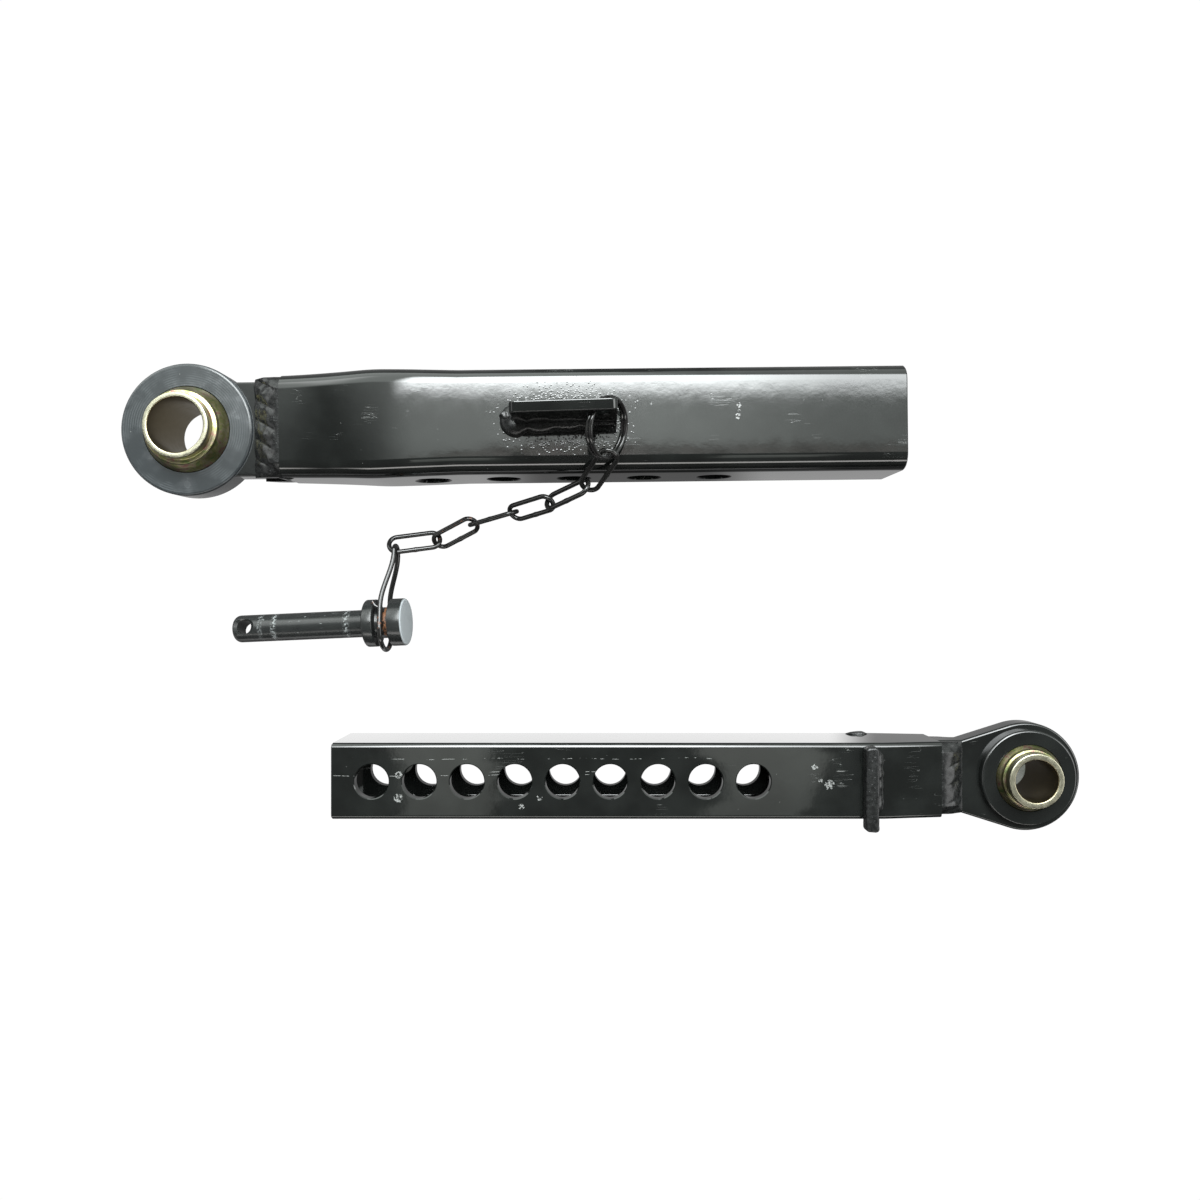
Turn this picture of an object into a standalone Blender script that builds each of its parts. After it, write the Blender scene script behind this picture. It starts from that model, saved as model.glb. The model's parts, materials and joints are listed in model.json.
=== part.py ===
"""Telescopic stabiliser link of a tractor three-point linkage, laid out in its two halves.

The outer tube lies on its side with a swivel eye at one end, a lug with a split ring, a chain,
and a locking pin on a wire loop. The inner bar lies beside it with its own, smaller swivel eye.
Sizes are in millimetres and are turned into metres where meshes are made. +Z is up, the tube
and the bar run along X, and the origin is the middle of the ground that the parts cover.
"""

import math

import bpy
from mathutils import Matrix, Vector

MM = 0.001
FIT_GAP = 0.3          # clearance between pieces that touch
ROUND_STEPS = 32       # sides of a turned piece
HOLE_STEPS = 20        # sides of a drilled hole

# Outer tube, along the local X axis of its own frame, whose origin is the eye's centre
TUBE_EYE_AT = (-220.5, 89.5, 27.0)
TUBE_YAW = math.radians(0.6)
TUBE_SIZE = 54.0
TUBE_WALL = 5.5
TUBE_CORNER = 8.5
TUBE_MOUTH_X = 375.0
TUBE_EVEN_X = 146.0                # from here to the mouth the tube keeps its size
TAPER_START_X = 101.0
TAPER_MIDDLE_X = 84.0
TUBE_END_X = 52.5
TUBE_SHOULDER_SIZE = (56.6, 54.0)  # pressing the end flat makes it bulge sideways
TUBE_MIDDLE_SIZE = (55.0, 46.0)
TUBE_END_SIZE = (53.4, 38.0)
TUBE_HOLE_X = (129.0, 166.5, 204.0, 241.5, 279.0)
PIN_HOLE_RADIUS = 9.0

# Swivel eye of the tube (category 2 ball)
TUBE_EYE_RADIUS = 35.0
TUBE_EYE_HALF = 8.4
TUBE_BALL_RADIUS = 24.2
TUBE_NECK_WIDTH = 50.0
TUBE_NECK_HALF = 7.2
TUBE_WELD_X = 36.0
TUBE_BUSH_HALF = 22.0
TUBE_BUSH_BORE = 14.35
TUBE_BUSH_END_RADIUS = 17.0
TUBE_BUSH_STEP_RADIUS = 19.4
TUBE_BUSH_STEP_Z = 16.2

# Inner bar, in world axes
BAR_Y = -95.5
BAR_SIZE = 40.0
BAR_WALL = 5.0
BAR_CORNER = 2.5
BAR_LEFT_X = -143.0
BAR_TAPER_X = 147.0
BAR_END_X = 178.0
BAR_END_HEIGHT = 32.0
BAR_HOLE_FIRST_X = -121.8
BAR_HOLE_PITCH = 25.0
BAR_HOLE_COUNT = 9

# Swivel eye of the bar (category 1 ball)
BAR_EYE_X = 226.5
BAR_EYE_RADIUS = 29.0
BAR_EYE_HALF = 6.5
BAR_BOSS_RADIUS = 25.5
BAR_BOSS_HALF = 11.0
BAR_BALL_RADIUS = 20.8
BAR_NECK_WIDTH = 39.0
BAR_WELD_END_X = 192.0
BAR_BUSH_HALF = 20.0
BAR_BUSH_BORE = 11.2
BAR_BUSH_END_RADIUS = 14.5
BAR_BUSH_STEP_RADIUS = 15.8
BAR_BUSH_STEP_Z = 14.8

# Stop strip across the top of the bar, and its weld beads
STOP_X = (135.2, 142.2)
STOP_Y = (-120.6, -76.6)
STOP_HEIGHT = 7.0
STOP_WELD_WIDTH = 4.5
SIDE_BEAD_X = 141.0
SIDE_BEAD_LENGTH = 12.0

# Lug plate on top of the tube, in the tube's frame
LUG_X = (175.4, 227.0)
LUG_Y = 0.0
LUG_THICKNESS = 5.5
LUG_HEIGHT = 35.0
LUG_YAW = math.radians(1.2)
LUG_CORNER = 3.0
LUG_HOLE_INSET = 9.9
LUG_HOLE_DROP = 8.7
LUG_HOLE_RADIUS = 6.0
LUG_WELD_LEG = 4.5
LUG_WELD_HEIGHT = 5.0

# Split ring through the lug
RING_CENTRE = Vector((1.5, 84.3, 69.6))
RING_RADIUS = 14.8
RING_RADIAL = 2.2
RING_AXIAL = 4.4
RING_PLAY = 4.0        # from the ring's wire to the crown of the first link
RING_TURN = math.radians(-14.0)
RING_TILT = math.radians(57.0)

# Long-link chain: wire, outer width and inner length
CHAIN_WIRE = 2.7
CHAIN_WIDTH = 12.0
CHAIN_INNER = 25.3
CHAIN_PLAY = 3.3       # from the wire a link hangs on to the link's own crown
# heading, drop and roll of each link, in degrees, from the ring to the pin
CHAIN_LINKS = (
    (231.0, 41.0, -20.0),
    (201.0, 32.5, 42.0),
    (193.0, 32.5, -36.0),
    (194.0, 19.0, 84.0),
    (205.0, 20.5, -34.0),
    (188.0, -8.0, 24.0),
)

# Locking pin, from its head to its tip
PIN_HEAD_AT = Vector((-108.5, -12.6, 14.8))
PIN_HEADING = math.radians(182.6)
PIN_DROP = math.radians(4.1)
PIN_ROLL = math.radians(12.0)
PIN_LENGTH = 96.8
PIN_HEAD_RADIUS = 13.0
PIN_HEAD_LENGTH = 8.0
PIN_GROOVE_RADIUS = 8.5
PIN_GROOVE_END = 16.0
PIN_COLLAR_END = 22.0
PIN_SHAFT_RADIUS = 7.5
PIN_TIP_CHAMFER = 3.5
PIN_TIP_HOLE_AT = 89.8
PIN_TIP_HOLE_RADIUS = 4.0

# Wire loop from the last link round the pin's groove
LOOP_WIRE = 2.7
LOOP_PIN_RADIUS = 11.2
LOOP_LENGTH = 42.5


def clear_scene():
    for item in list(bpy.data.objects):
        bpy.data.objects.remove(item, do_unlink=True)


def material(name, colour, metallic, roughness):
    made = bpy.data.materials.new(name)
    made.use_nodes = True
    shader = made.node_tree.nodes["Principled BSDF"]
    shader.inputs["Base Color"].default_value = (*colour, 1.0)
    shader.inputs["Metallic"].default_value = metallic
    shader.inputs["Roughness"].default_value = roughness
    return made


def link_object(name, data, finish, parent=None):
    made = bpy.data.objects.new(name, data)
    bpy.context.scene.collection.objects.link(made)
    if finish is not None:
        data.materials.append(finish)
    made.parent = parent
    return made


def mesh_object(name, points, faces, finish, parent=None, smooth=True):
    data = bpy.data.meshes.new(name)
    data.from_pydata([Vector(p) * MM for p in points], [], faces)
    data.validate()
    if smooth:
        data.shade_smooth()
        data.set_sharp_from_angle(angle=math.radians(35.0))
    return link_object(name, data, finish, parent)


def frame_empty(name, place):
    empty = bpy.data.objects.new(name, None)
    bpy.context.scene.collection.objects.link(empty)
    empty.matrix_world = place
    return empty


def place_matrix(origin, x_axis, y_axis):
    """A frame in metres from an origin in millimetres and two unit axes."""
    z_axis = x_axis.cross(y_axis)
    turned = Matrix((x_axis, y_axis, z_axis)).transposed().to_4x4()
    return Matrix.Translation(origin * MM) @ turned


def heading_vector(heading, drop):
    flat = math.cos(drop)
    return Vector((flat * math.cos(heading), flat * math.sin(heading), -math.sin(drop)))


def arc(centre, radius, start, end, steps):
    """Points on an arc, with angles in degrees."""
    angles = [math.radians(start + (end - start) * i / steps) for i in range(steps + 1)]
    return [(centre[0] + radius * math.cos(a), centre[1] + radius * math.sin(a)) for a in angles]


def rounded_rectangle(width, height, radius, steps=5):
    across, up = width / 2 - radius, height / 2 - radius
    corners = ((across, up, 0), (-across, up, 90), (-across, -up, 180), (across, -up, 270))
    points = []
    for x, y, start in corners:
        points += arc((x, y), radius, start, start + 90, steps)
    return points


def loft(name, rings, finish, parent=None, closed=False):
    """A skin over rings of equal length. Open ends are capped, and a closed loft has none."""
    count = len(rings[0])
    points = [p for ring in rings for p in ring]
    spans = len(rings) if closed else len(rings) - 1
    faces = []
    for i in range(spans):
        a, b = i * count, (i + 1) % len(rings) * count
        faces += [(a + j, a + (j + 1) % count, b + (j + 1) % count, b + j) for j in range(count)]
    if not closed:
        faces.append(tuple(reversed(range(count))))
        faces.append(tuple(range((len(rings) - 1) * count, len(rings) * count)))
    return mesh_object(name, points, faces, finish, parent)


def turned(name, profile, finish, parent=None, steps=ROUND_STEPS):
    """A closed (radius, height) profile turned about the local Z axis, listed anticlockwise."""
    rings = []
    for i in range(steps):
        a = 2 * math.pi * i / steps
        rings.append([(r * math.cos(a), r * math.sin(a), z) for r, z in profile])
    return loft(name, list(reversed(rings)), finish, parent, closed=True)


def turned_solid(name, profile, finish, parent=None, steps=ROUND_STEPS):
    """An open (radius, height) profile from low to high, turned about Z and capped."""
    rings = []
    for r, z in profile:
        angles = [2 * math.pi * i / steps for i in range(steps)]
        rings.append([(r * math.cos(a), r * math.sin(a), z) for a in angles])
    return loft(name, rings, finish, parent)


def prism(name, outline, low, high, finish, parent=None):
    """A flat outline in X and Y, drawn up from low to high."""
    rings = [[(x, y, z) for x, y in outline] for z in (low, high)]
    return loft(name, rings, finish, parent)


def make_cutter(cutter):
    cutter.hide_render = True
    cutter.display_type = "WIRE"
    return cutter


def combine(body, tool, operation):
    change = body.modifiers.new(operation.lower(), "BOOLEAN")
    change.operation = operation
    change.object = make_cutter(tool)


def drill(body, name, radius, length, centre, direction, parent=None):
    """Cut a round hole of a whole length about its centre, along a direction."""
    half = length / 2
    tool = turned_solid(name, [(radius, -half), (radius, half)], None, parent, HOLE_STEPS)
    tool.rotation_mode = "QUATERNION"
    tool.rotation_quaternion = Vector(direction).to_track_quat("Z", "Y")
    tool.location = Vector(centre) * MM
    combine(body, tool, "DIFFERENCE")
    return tool


def section_ring(x, size, corner):
    """A rounded rectangle of (width in Y, height in Z) standing across the X axis."""
    return [(x, y, z) for y, z in rounded_rectangle(size[0], size[1], corner)]


def hollow_bar(name, stations, wall, finish, parent=None):
    """A square tube through (x, width, height, corner) stations, open at both ends."""
    outside = [section_ring(x, (w, h), c) for x, w, h, c in stations]
    inside = []
    for x, w, h, c in stations:
        inner_corner = max(c - wall, 1.0)
        inside.append(section_ring(x, (w - 2 * wall, h - 2 * wall), inner_corner))
    return loft(name, outside + inside[::-1], finish, parent, closed=True)


def collar(name, footprint, grow_low, grow_high, height, finish, parent=None):
    """A weld bead round a rectangular foot of (x0, x1, y0, y1), sloping inwards as it rises."""
    x0, x1, y0, y1 = footprint

    def loop(left, right, side, z):
        width, depth = x1 - x0 + left + right, y1 - y0 + 2 * side
        middle = ((x0 - left + x1 + right) / 2, (y0 + y1) / 2)
        radius = max(min(side, 4.0), 0.4)
        points = rounded_rectangle(width, depth, radius, 4)
        return [(middle[0] + x, middle[1] + y, z) for x, y in points]

    left, right, side = grow_low
    gap = FIT_GAP
    rings = [
        loop(left, right, side, 0.0),
        loop(left * 0.8, right * 0.8, side * 0.8, height * 0.45),
        loop(grow_high, grow_high, grow_high, height),
        loop(gap, gap, gap, height),
        loop(gap, gap, gap, 0.0),
    ]
    return loft(name, rings, finish, parent, closed=True)


def ball_bush(name, ball, half, bore, end_radius, step_radius, step_z, finish, parent):
    """A swivel ball with a stepped collar at each end and a chamfered bore."""
    chamfer = 0.7
    meet = math.sqrt(ball ** 2 - step_radius ** 2)
    reach = math.degrees(math.asin(meet / ball))
    upper = [
        (step_radius, step_z),
        (end_radius, step_z + 0.4),
        (end_radius, half - chamfer),
        (end_radius - chamfer, half),
        (bore + chamfer, half),
        (bore, half - chamfer),
    ]
    lower = [(r, -z) for r, z in reversed(upper)]
    sphere = arc((0, 0), ball, -reach, reach, 8)
    return turned(name, sphere + upper + lower, finish, parent)


def seat_cutter(name, ball, parent):
    """A ball a little larger than the bush, which leaves the eye's seat."""
    steps = 16
    radius = ball + FIT_GAP
    profile = arc((0, 0), radius, -88, 88, steps)
    return turned_solid(name, profile, None, parent)


def wire_curve(name, points, wire, finish, parent=None):
    """A closed loop of round wire through points in millimetres."""
    data = bpy.data.curves.new(name, "CURVE")
    data.dimensions = "3D"
    data.bevel_depth = wire / 2 * MM
    data.bevel_resolution = 2
    spline = data.splines.new("POLY")
    spline.points.add(len(points) - 1)
    for target, point in zip(spline.points, points):
        target.co = (*(Vector(point) * MM), 1.0)
    spline.use_cyclic_u = True
    return link_object(name, data, finish, parent)


def build_outer_tube(frame, paint):
    corner = TUBE_CORNER
    stations = [
        (TUBE_MOUTH_X, TUBE_SIZE, TUBE_SIZE, corner),
        (TUBE_EVEN_X, TUBE_SIZE, TUBE_SIZE, corner),
        (TAPER_START_X, *TUBE_SHOULDER_SIZE, corner),
        (TAPER_MIDDLE_X, *TUBE_MIDDLE_SIZE, corner),
        (TUBE_END_X, *TUBE_END_SIZE, corner),
    ]
    tube = hollow_bar("outer_tube", stations, TUBE_WALL, paint, frame)
    for i, x in enumerate(TUBE_HOLE_X):
        length = TUBE_SIZE + 10
        drill(tube, f"cut_tube_hole_{i}", PIN_HOLE_RADIUS, length, (x, 0, 0), (0, 1, 0), frame)


def build_tube_eye(frame, paint):
    half, chamfer = TUBE_EYE_HALF, 1.0
    radius = TUBE_EYE_RADIUS
    profile = [(radius - chamfer, -half), (radius, chamfer - half), (radius, half - chamfer)]
    profile.append((radius - chamfer, half))
    eye = turned_solid("tube_eye", profile, paint, frame, 64)
    across = TUBE_NECK_WIDTH / 2
    reach = TUBE_END_X - FIT_GAP
    neck_half = TUBE_NECK_HALF
    outline = [(10.0, -across), (reach, -across), (reach, across), (10.0, across)]
    neck = prism("join_tube_neck", outline, -neck_half, neck_half, None, frame)
    combine(eye, neck, "UNION")
    combine(eye, seat_cutter("cut_tube_seat", TUBE_BALL_RADIUS, frame), "DIFFERENCE")


def wedge_bead(name, near_x, far_x, inner_z, outer_z, half_width, finish, parent):
    """A fillet weld across a neck: low at near_x, as high as the tube's end at far_x."""
    sign = 1 if outer_z > inner_z else -1
    rise = abs(outer_z - inner_z)
    span = far_x - near_x
    section = [(near_x, 0.0), (far_x, 0.0), (far_x, rise), (far_x - 0.2 * span, rise)]
    section += [(near_x + 0.3 * span, 0.62 * rise), (near_x, 0.22 * rise)]
    edge = min(2.5, half_width / 8)
    rings = []
    for y, keep in ((-half_width, 0.75), (edge - half_width, 1.0), (half_width - edge, 1.0),
                    (half_width, 0.75)):
        rings.append([(x, y, inner_z + sign * z * keep) for x, z in section])
    if (sign > 0) == (far_x > near_x):
        rings.reverse()
    return loft(name, rings, finish, parent)


def build_tube_welds(frame, paint):
    low = TUBE_NECK_HALF + FIT_GAP
    high = TUBE_END_SIZE[1] / 2 - 0.5
    far = TUBE_END_X - FIT_GAP
    half = TUBE_END_SIZE[0] / 2 - 0.3
    wedge_bead("tube_eye_weld_top", TUBE_WELD_X, far, low, high, half, paint, frame)
    wedge_bead("tube_eye_weld_bottom", TUBE_WELD_X, far, -low, -high, half, paint, frame)


def build_lug(frame, paint):
    """The lug plate stands on the tube; its own frame is the middle of its foot."""
    foot = Vector(((LUG_X[0] + LUG_X[1]) / 2, LUG_Y, TUBE_SIZE / 2 + FIT_GAP)) * MM
    stand = frame_empty("lug_frame", Matrix.Identity(4))
    stand.parent = frame
    stand.location = foot
    stand.rotation_euler = (0.0, 0.0, LUG_YAW)
    half = (LUG_X[1] - LUG_X[0]) / 2
    top = LUG_HEIGHT - FIT_GAP
    outline = [(-half, 0.0), (half, 0.0)]
    outline += arc((half - LUG_CORNER, top - LUG_CORNER), LUG_CORNER, 0, 90, 5)
    outline += arc((LUG_CORNER - half, top - LUG_CORNER), LUG_CORNER, 90, 180, 5)
    thick = LUG_THICKNESS / 2
    rings = [[(x, y, z) for x, z in outline] for y in (thick, -thick)]
    lug = loft("chain_lug", rings, paint, stand)
    hole = (half - LUG_HOLE_INSET, 0.0, top - LUG_HOLE_DROP)
    drill(lug, "cut_lug_hole", LUG_HOLE_RADIUS, LUG_THICKNESS * 3, hole, (0, 1, 0), stand)
    footprint = (-half, half, -thick, thick)
    grow = (7.0, 3.0, LUG_WELD_LEG)
    weld = collar("chain_lug_weld", footprint, grow, 0.9, LUG_WELD_HEIGHT, paint, stand)
    clear = half - 1.0
    outline = [(clear, -15.0), (clear + 10.0, -15.0), (clear + 10.0, 15.0), (clear, 15.0)]
    end_box = prism("cut_lug_weld", outline, -1.0, 2 * LUG_WELD_HEIGHT, None, stand)
    combine(weld, end_box, "DIFFERENCE")


def build_inner_bar(paint):
    middle = Vector((0.0, BAR_Y, BAR_SIZE / 2))
    frame = frame_empty("bar_frame", Matrix.Translation(middle * MM))
    stations = [
        (BAR_END_X, BAR_SIZE, BAR_END_HEIGHT, BAR_CORNER),
        (BAR_TAPER_X, BAR_SIZE, BAR_SIZE, BAR_CORNER),
        (BAR_LEFT_X, BAR_SIZE, BAR_SIZE, BAR_CORNER),
    ]
    bar = hollow_bar("inner_bar", stations, BAR_WALL, paint, frame)
    for i in range(BAR_HOLE_COUNT):
        centre = (BAR_HOLE_FIRST_X + i * BAR_HOLE_PITCH, 0.0, 0.0)
        length = BAR_SIZE + 10
        drill(bar, f"cut_bar_hole_{i}", PIN_HOLE_RADIUS, length, centre, (0, 0, 1), frame)
    return frame


def build_bar_eye(frame, paint):
    """A flat eye whose neck flares tangentially into the ring, with a raised boss each side."""
    radius, across = BAR_EYE_RADIUS, BAR_NECK_WIDTH / 2
    back = BAR_EYE_X - BAR_WELD_END_X
    reach = math.hypot(back, across)
    swing = math.degrees(math.acos(radius / reach) + math.atan2(across, back))
    start = 180 - swing
    outline = [(-back, -across)] + arc((0, 0), radius, -start, start, 30)
    foot = BAR_END_X + FIT_GAP - BAR_EYE_X
    outline += [(-back, across), (foot, across), (foot, -across)]
    outline = [(BAR_EYE_X + x, y) for x, y in outline]
    eye = prism("bar_eye", outline, -BAR_EYE_HALF, BAR_EYE_HALF, paint, frame)
    boss, half = BAR_BOSS_RADIUS, BAR_BOSS_HALF
    profile = [(boss - 0.8, -half), (boss, 0.8 - half), (boss, half - 0.8), (boss - 0.8, half)]
    extra = turned_solid("join_bar_boss", profile, None, frame, 56)
    extra.location = (BAR_EYE_X * MM, 0.0, 0.0)
    combine(eye, extra, "UNION")
    seat = seat_cutter("cut_bar_seat", BAR_BALL_RADIUS, frame)
    seat.location = (BAR_EYE_X * MM, 0.0, 0.0)
    combine(eye, seat, "DIFFERENCE")


def build_bar_welds(frame, paint):
    low = BAR_EYE_HALF + FIT_GAP
    high = BAR_END_HEIGHT / 2 - 0.4
    near = BAR_WELD_END_X
    far = BAR_END_X + FIT_GAP
    half = BAR_NECK_WIDTH / 2
    wedge_bead("bar_eye_weld_top", near, far, low, high, half, paint, frame)
    wedge_bead("bar_eye_weld_bottom", near, far, -low, -high, half, paint, frame)


def build_stop(frame, paint):
    """The stop strip meets the tube's mouth when the link is pushed right in."""
    y0, y1 = STOP_Y[0] - BAR_Y, STOP_Y[1] - BAR_Y
    x0, x1 = STOP_X
    base = BAR_SIZE / 2 + FIT_GAP
    width, length = x1 - x0, y1 - y0
    centre = ((x0 + x1) / 2, (y0 + y1) / 2)
    outline = rounded_rectangle(width, length, 1.5, 4)
    outline = [(centre[0] + x, centre[1] + y) for x, y in outline]
    prism("stop_strip", outline, base, BAR_SIZE / 2 + STOP_HEIGHT, paint, frame)
    near = x1 + FIT_GAP
    bead = [(0.0, 0.0), (STOP_WELD_WIDTH, 0.0), (0.55 * STOP_WELD_WIDTH, 2.6), (0.0, 4.6)]
    edge = BAR_SIZE / 2 - BAR_CORNER
    rings = [[(near + x, y, base + z) for x, z in bead] for y in (edge, -edge)]
    loft("stop_weld", rings, paint, frame)
    side = BAR_SIZE / 2 + FIT_GAP
    section = [(side, -16.5), (side + 1.6, -15.5), (side + 1.6, -12.5), (side, -11.0)]
    ends = (SIDE_BEAD_X - SIDE_BEAD_LENGTH / 2, SIDE_BEAD_X + SIDE_BEAD_LENGTH / 2)
    rings = [[(x, y, z) for y, z in section] for x in ends]
    loft("stop_side_weld", rings, paint, frame)


def ring_axes():
    """Unit axes of the ring: two in its plane, and its own axis."""
    across = Vector((-math.sin(RING_TURN), math.cos(RING_TURN), 0.0))
    level = Vector((-math.cos(RING_TURN), -math.sin(RING_TURN), 0.0))
    raised = level * math.cos(RING_TILT) + Vector((0, 0, 1)) * math.sin(RING_TILT)
    return across, raised, across.cross(raised)


def build_ring(steel):
    across, raised, axis = ring_axes()
    place = place_matrix(RING_CENTRE, across, raised)
    section = []
    for x, y in rounded_rectangle(RING_RADIAL, RING_AXIAL, 1.05, 2):
        section.append((RING_RADIUS + x, y))
    ring = turned("split_ring", section, steel, None, 40)
    ring.matrix_world = place
    return across, raised, axis


def link_axes(heading, drop, roll):
    along = heading_vector(math.radians(heading), math.radians(drop))
    level = Vector((0, 0, 1)).cross(along).normalized()
    turned_side = Matrix.Rotation(math.radians(roll), 3, along) @ level
    return along, turned_side


def link_outline():
    """The centre line of a link whose crown is CHAIN_PLAY behind the origin, along X."""
    bend = (CHAIN_WIDTH - CHAIN_WIRE) / 2
    near = bend - CHAIN_PLAY
    far = CHAIN_INNER + CHAIN_WIRE - bend - CHAIN_PLAY
    points = arc((far, 0.0), bend, -90, 90, 10) + arc((near, 0.0), bend, 90, 270, 10)
    return [(x, y, 0.0) for x, y in points], far, bend


def build_chain(ring_frame, steel):
    """Hang each link on the wire of the one before it, and return where the last one ends."""
    across, raised, _ = ring_frame
    outline, far, bend = link_outline()
    along = link_axes(*CHAIN_LINKS[0])[0]
    radial = (across * along.dot(across) + raised * along.dot(raised)).normalized()
    hook = RING_CENTRE + radial * RING_RADIUS - along * (RING_PLAY - CHAIN_PLAY)
    for i, pose in enumerate(CHAIN_LINKS):
        along, side = link_axes(*pose)
        link = wire_curve(f"chain_link_{i + 1}", outline, CHAIN_WIRE, steel)
        link.matrix_world = place_matrix(hook, along, side)
        if i + 1 < len(CHAIN_LINKS):
            following = link_axes(*CHAIN_LINKS[i + 1])[0]
        else:
            following = loop_direction(hook + along * far)
        swing = math.atan2(following.dot(side), following.dot(along))
        radial = along * math.cos(swing) + side * math.sin(swing)
        hook = hook + along * far + radial * bend
    return hook


def pin_axis():
    return heading_vector(PIN_HEADING, PIN_DROP)


def groove_centre():
    middle = (PIN_HEAD_LENGTH + PIN_GROOVE_END) / 2
    return PIN_HEAD_AT + pin_axis() * middle


def loop_direction(start):
    return (groove_centre() - start).normalized()


def build_pin(steel):
    axis = pin_axis()
    level = Vector((0, 0, 1)).cross(axis).normalized()
    side = Matrix.Rotation(PIN_ROLL, 3, axis) @ level
    place = place_matrix(PIN_HEAD_AT, side, axis.cross(side))
    head, edge = PIN_HEAD_RADIUS, 1.2
    shaft = PIN_SHAFT_RADIUS
    profile = [
        (head - edge, 0.0),
        (head, edge),
        (head, PIN_HEAD_LENGTH),
        (PIN_GROOVE_RADIUS, PIN_HEAD_LENGTH + 0.3),
        (PIN_GROOVE_RADIUS, PIN_GROOVE_END - 0.3),
        (head, PIN_GROOVE_END),
        (head, PIN_COLLAR_END - edge),
        (head - edge, PIN_COLLAR_END),
        (shaft, PIN_COLLAR_END + 0.3),
    ]
    tip = arc((shaft - PIN_TIP_CHAMFER, PIN_LENGTH - PIN_TIP_CHAMFER), PIN_TIP_CHAMFER, 0, 80, 5)
    pin = turned_solid("locking_pin", profile + tip, steel)
    pin.matrix_world = place
    hole = (0.0, 0.0, PIN_TIP_HOLE_AT)
    tool = drill(pin, "cut_pin_hole", PIN_TIP_HOLE_RADIUS, 4 * shaft, hole, (0, 1, 0), None)
    tool.parent = pin


def build_loop(start, steel):
    """A teardrop of wire: narrow round the last link, wide round the pin's groove."""
    centre = groove_centre()
    axis = pin_axis()
    offset = centre - start
    sideways = offset.dot(axis)
    flat = (offset - axis * sideways).normalized()
    up = flat.cross(axis)
    if up.z < 0:
        up = -up
    small, big = CHAIN_PLAY, LOOP_PIN_RADIUS
    slope = math.degrees(math.asin((big - small) / LOOP_LENGTH))
    outline = arc((LOOP_LENGTH, 0.0), big, -90 - slope, 90 + slope, 16)
    outline = arc((0.0, 0.0), small, 90 + slope, 270 - slope, 6) + straight_fill(
        outline, small, slope
    )
    reach = 0.7 * LOOP_LENGTH
    points = []
    for u, v in outline:
        left = max(0.0, 1.0 - max(u, 0.0) / reach)
        shift = sideways * (1.0 - left ** 2 * (3 - 2 * left))
        points.append(start + flat * u + up * v + axis * shift)
    made = wire_curve("pin_wire_loop", [p - start for p in points], LOOP_WIRE, steel)
    made.location = start * MM


def straight_fill(wide_arc, small, slope):
    """The two straight strands with a few points each, round the wide end."""
    lean = math.radians(90 + slope)
    low = (small * math.cos(lean), -small * math.sin(lean))
    high = (small * math.cos(lean), small * math.sin(lean))
    count = 7
    out = []
    for i in range(1, count):
        t = i / count
        out.append(tuple(a + (b - a) * t for a, b in zip(low, wide_arc[0])))
    out += wide_arc
    for i in range(1, count):
        t = i / count
        out.append(tuple(a + (b - a) * t for a, b in zip(wide_arc[-1], high)))
    return out


def build_bushes(tube_frame, bar_frame, zinc):
    ball_bush(
        "tube_ball_bush", TUBE_BALL_RADIUS, TUBE_BUSH_HALF, TUBE_BUSH_BORE,
        TUBE_BUSH_END_RADIUS, TUBE_BUSH_STEP_RADIUS, TUBE_BUSH_STEP_Z, zinc, tube_frame,
    )
    small = ball_bush(
        "bar_ball_bush", BAR_BALL_RADIUS, BAR_BUSH_HALF, BAR_BUSH_BORE,
        BAR_BUSH_END_RADIUS, BAR_BUSH_STEP_RADIUS, BAR_BUSH_STEP_Z, zinc, bar_frame,
    )
    small.location = (BAR_EYE_X * MM, 0.0, 0.0)


def main():
    clear_scene()
    paint = material("gloss_black_paint", (0.012, 0.013, 0.012), 0.0, 0.14)
    zinc = material("yellow_zinc", (0.55, 0.50, 0.32), 1.0, 0.32)
    chain_steel = material("black_chain", (0.02, 0.02, 0.02), 0.3, 0.3)
    pin_steel = material("gunmetal_pin", (0.05, 0.05, 0.05), 0.7, 0.35)
    eye_centre = Vector(TUBE_EYE_AT) * MM
    turn = Matrix.Rotation(TUBE_YAW, 4, "Z")
    tube_frame = frame_empty("tube_frame", Matrix.Translation(eye_centre) @ turn)
    build_outer_tube(tube_frame, paint)
    build_tube_eye(tube_frame, paint)
    build_tube_welds(tube_frame, paint)
    build_lug(tube_frame, paint)
    bar_frame = build_inner_bar(paint)
    build_bar_eye(bar_frame, paint)
    build_bar_welds(bar_frame, paint)
    build_stop(bar_frame, paint)
    build_bushes(tube_frame, bar_frame, zinc)
    chain_end = build_chain(build_ring(chain_steel), chain_steel)
    build_pin(pin_steel)
    build_loop(chain_end, chain_steel)
    bpy.context.view_layer.update()


main()
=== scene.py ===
"""Looks of a telescopic stabiliser link that lies in two halves on a pale studio floor.

Every piece here stands for one CAD node, rides on that node's body and keeps its place and size.
The pieces are finer: smooth corners, chamfered holes, rippled welds, a two-turn split ring.
Lengths are in millimetres and are turned into metres where meshes are made. +Z is up.
"""

import json
import math

import bmesh
import bpy
from mathutils import Matrix, Vector, noise


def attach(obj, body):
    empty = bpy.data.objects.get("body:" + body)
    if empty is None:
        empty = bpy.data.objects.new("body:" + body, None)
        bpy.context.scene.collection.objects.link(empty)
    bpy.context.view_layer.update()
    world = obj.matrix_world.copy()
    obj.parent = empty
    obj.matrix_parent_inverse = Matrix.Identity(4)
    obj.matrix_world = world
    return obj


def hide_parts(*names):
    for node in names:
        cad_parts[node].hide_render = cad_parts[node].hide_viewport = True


MM = 0.001

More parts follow.
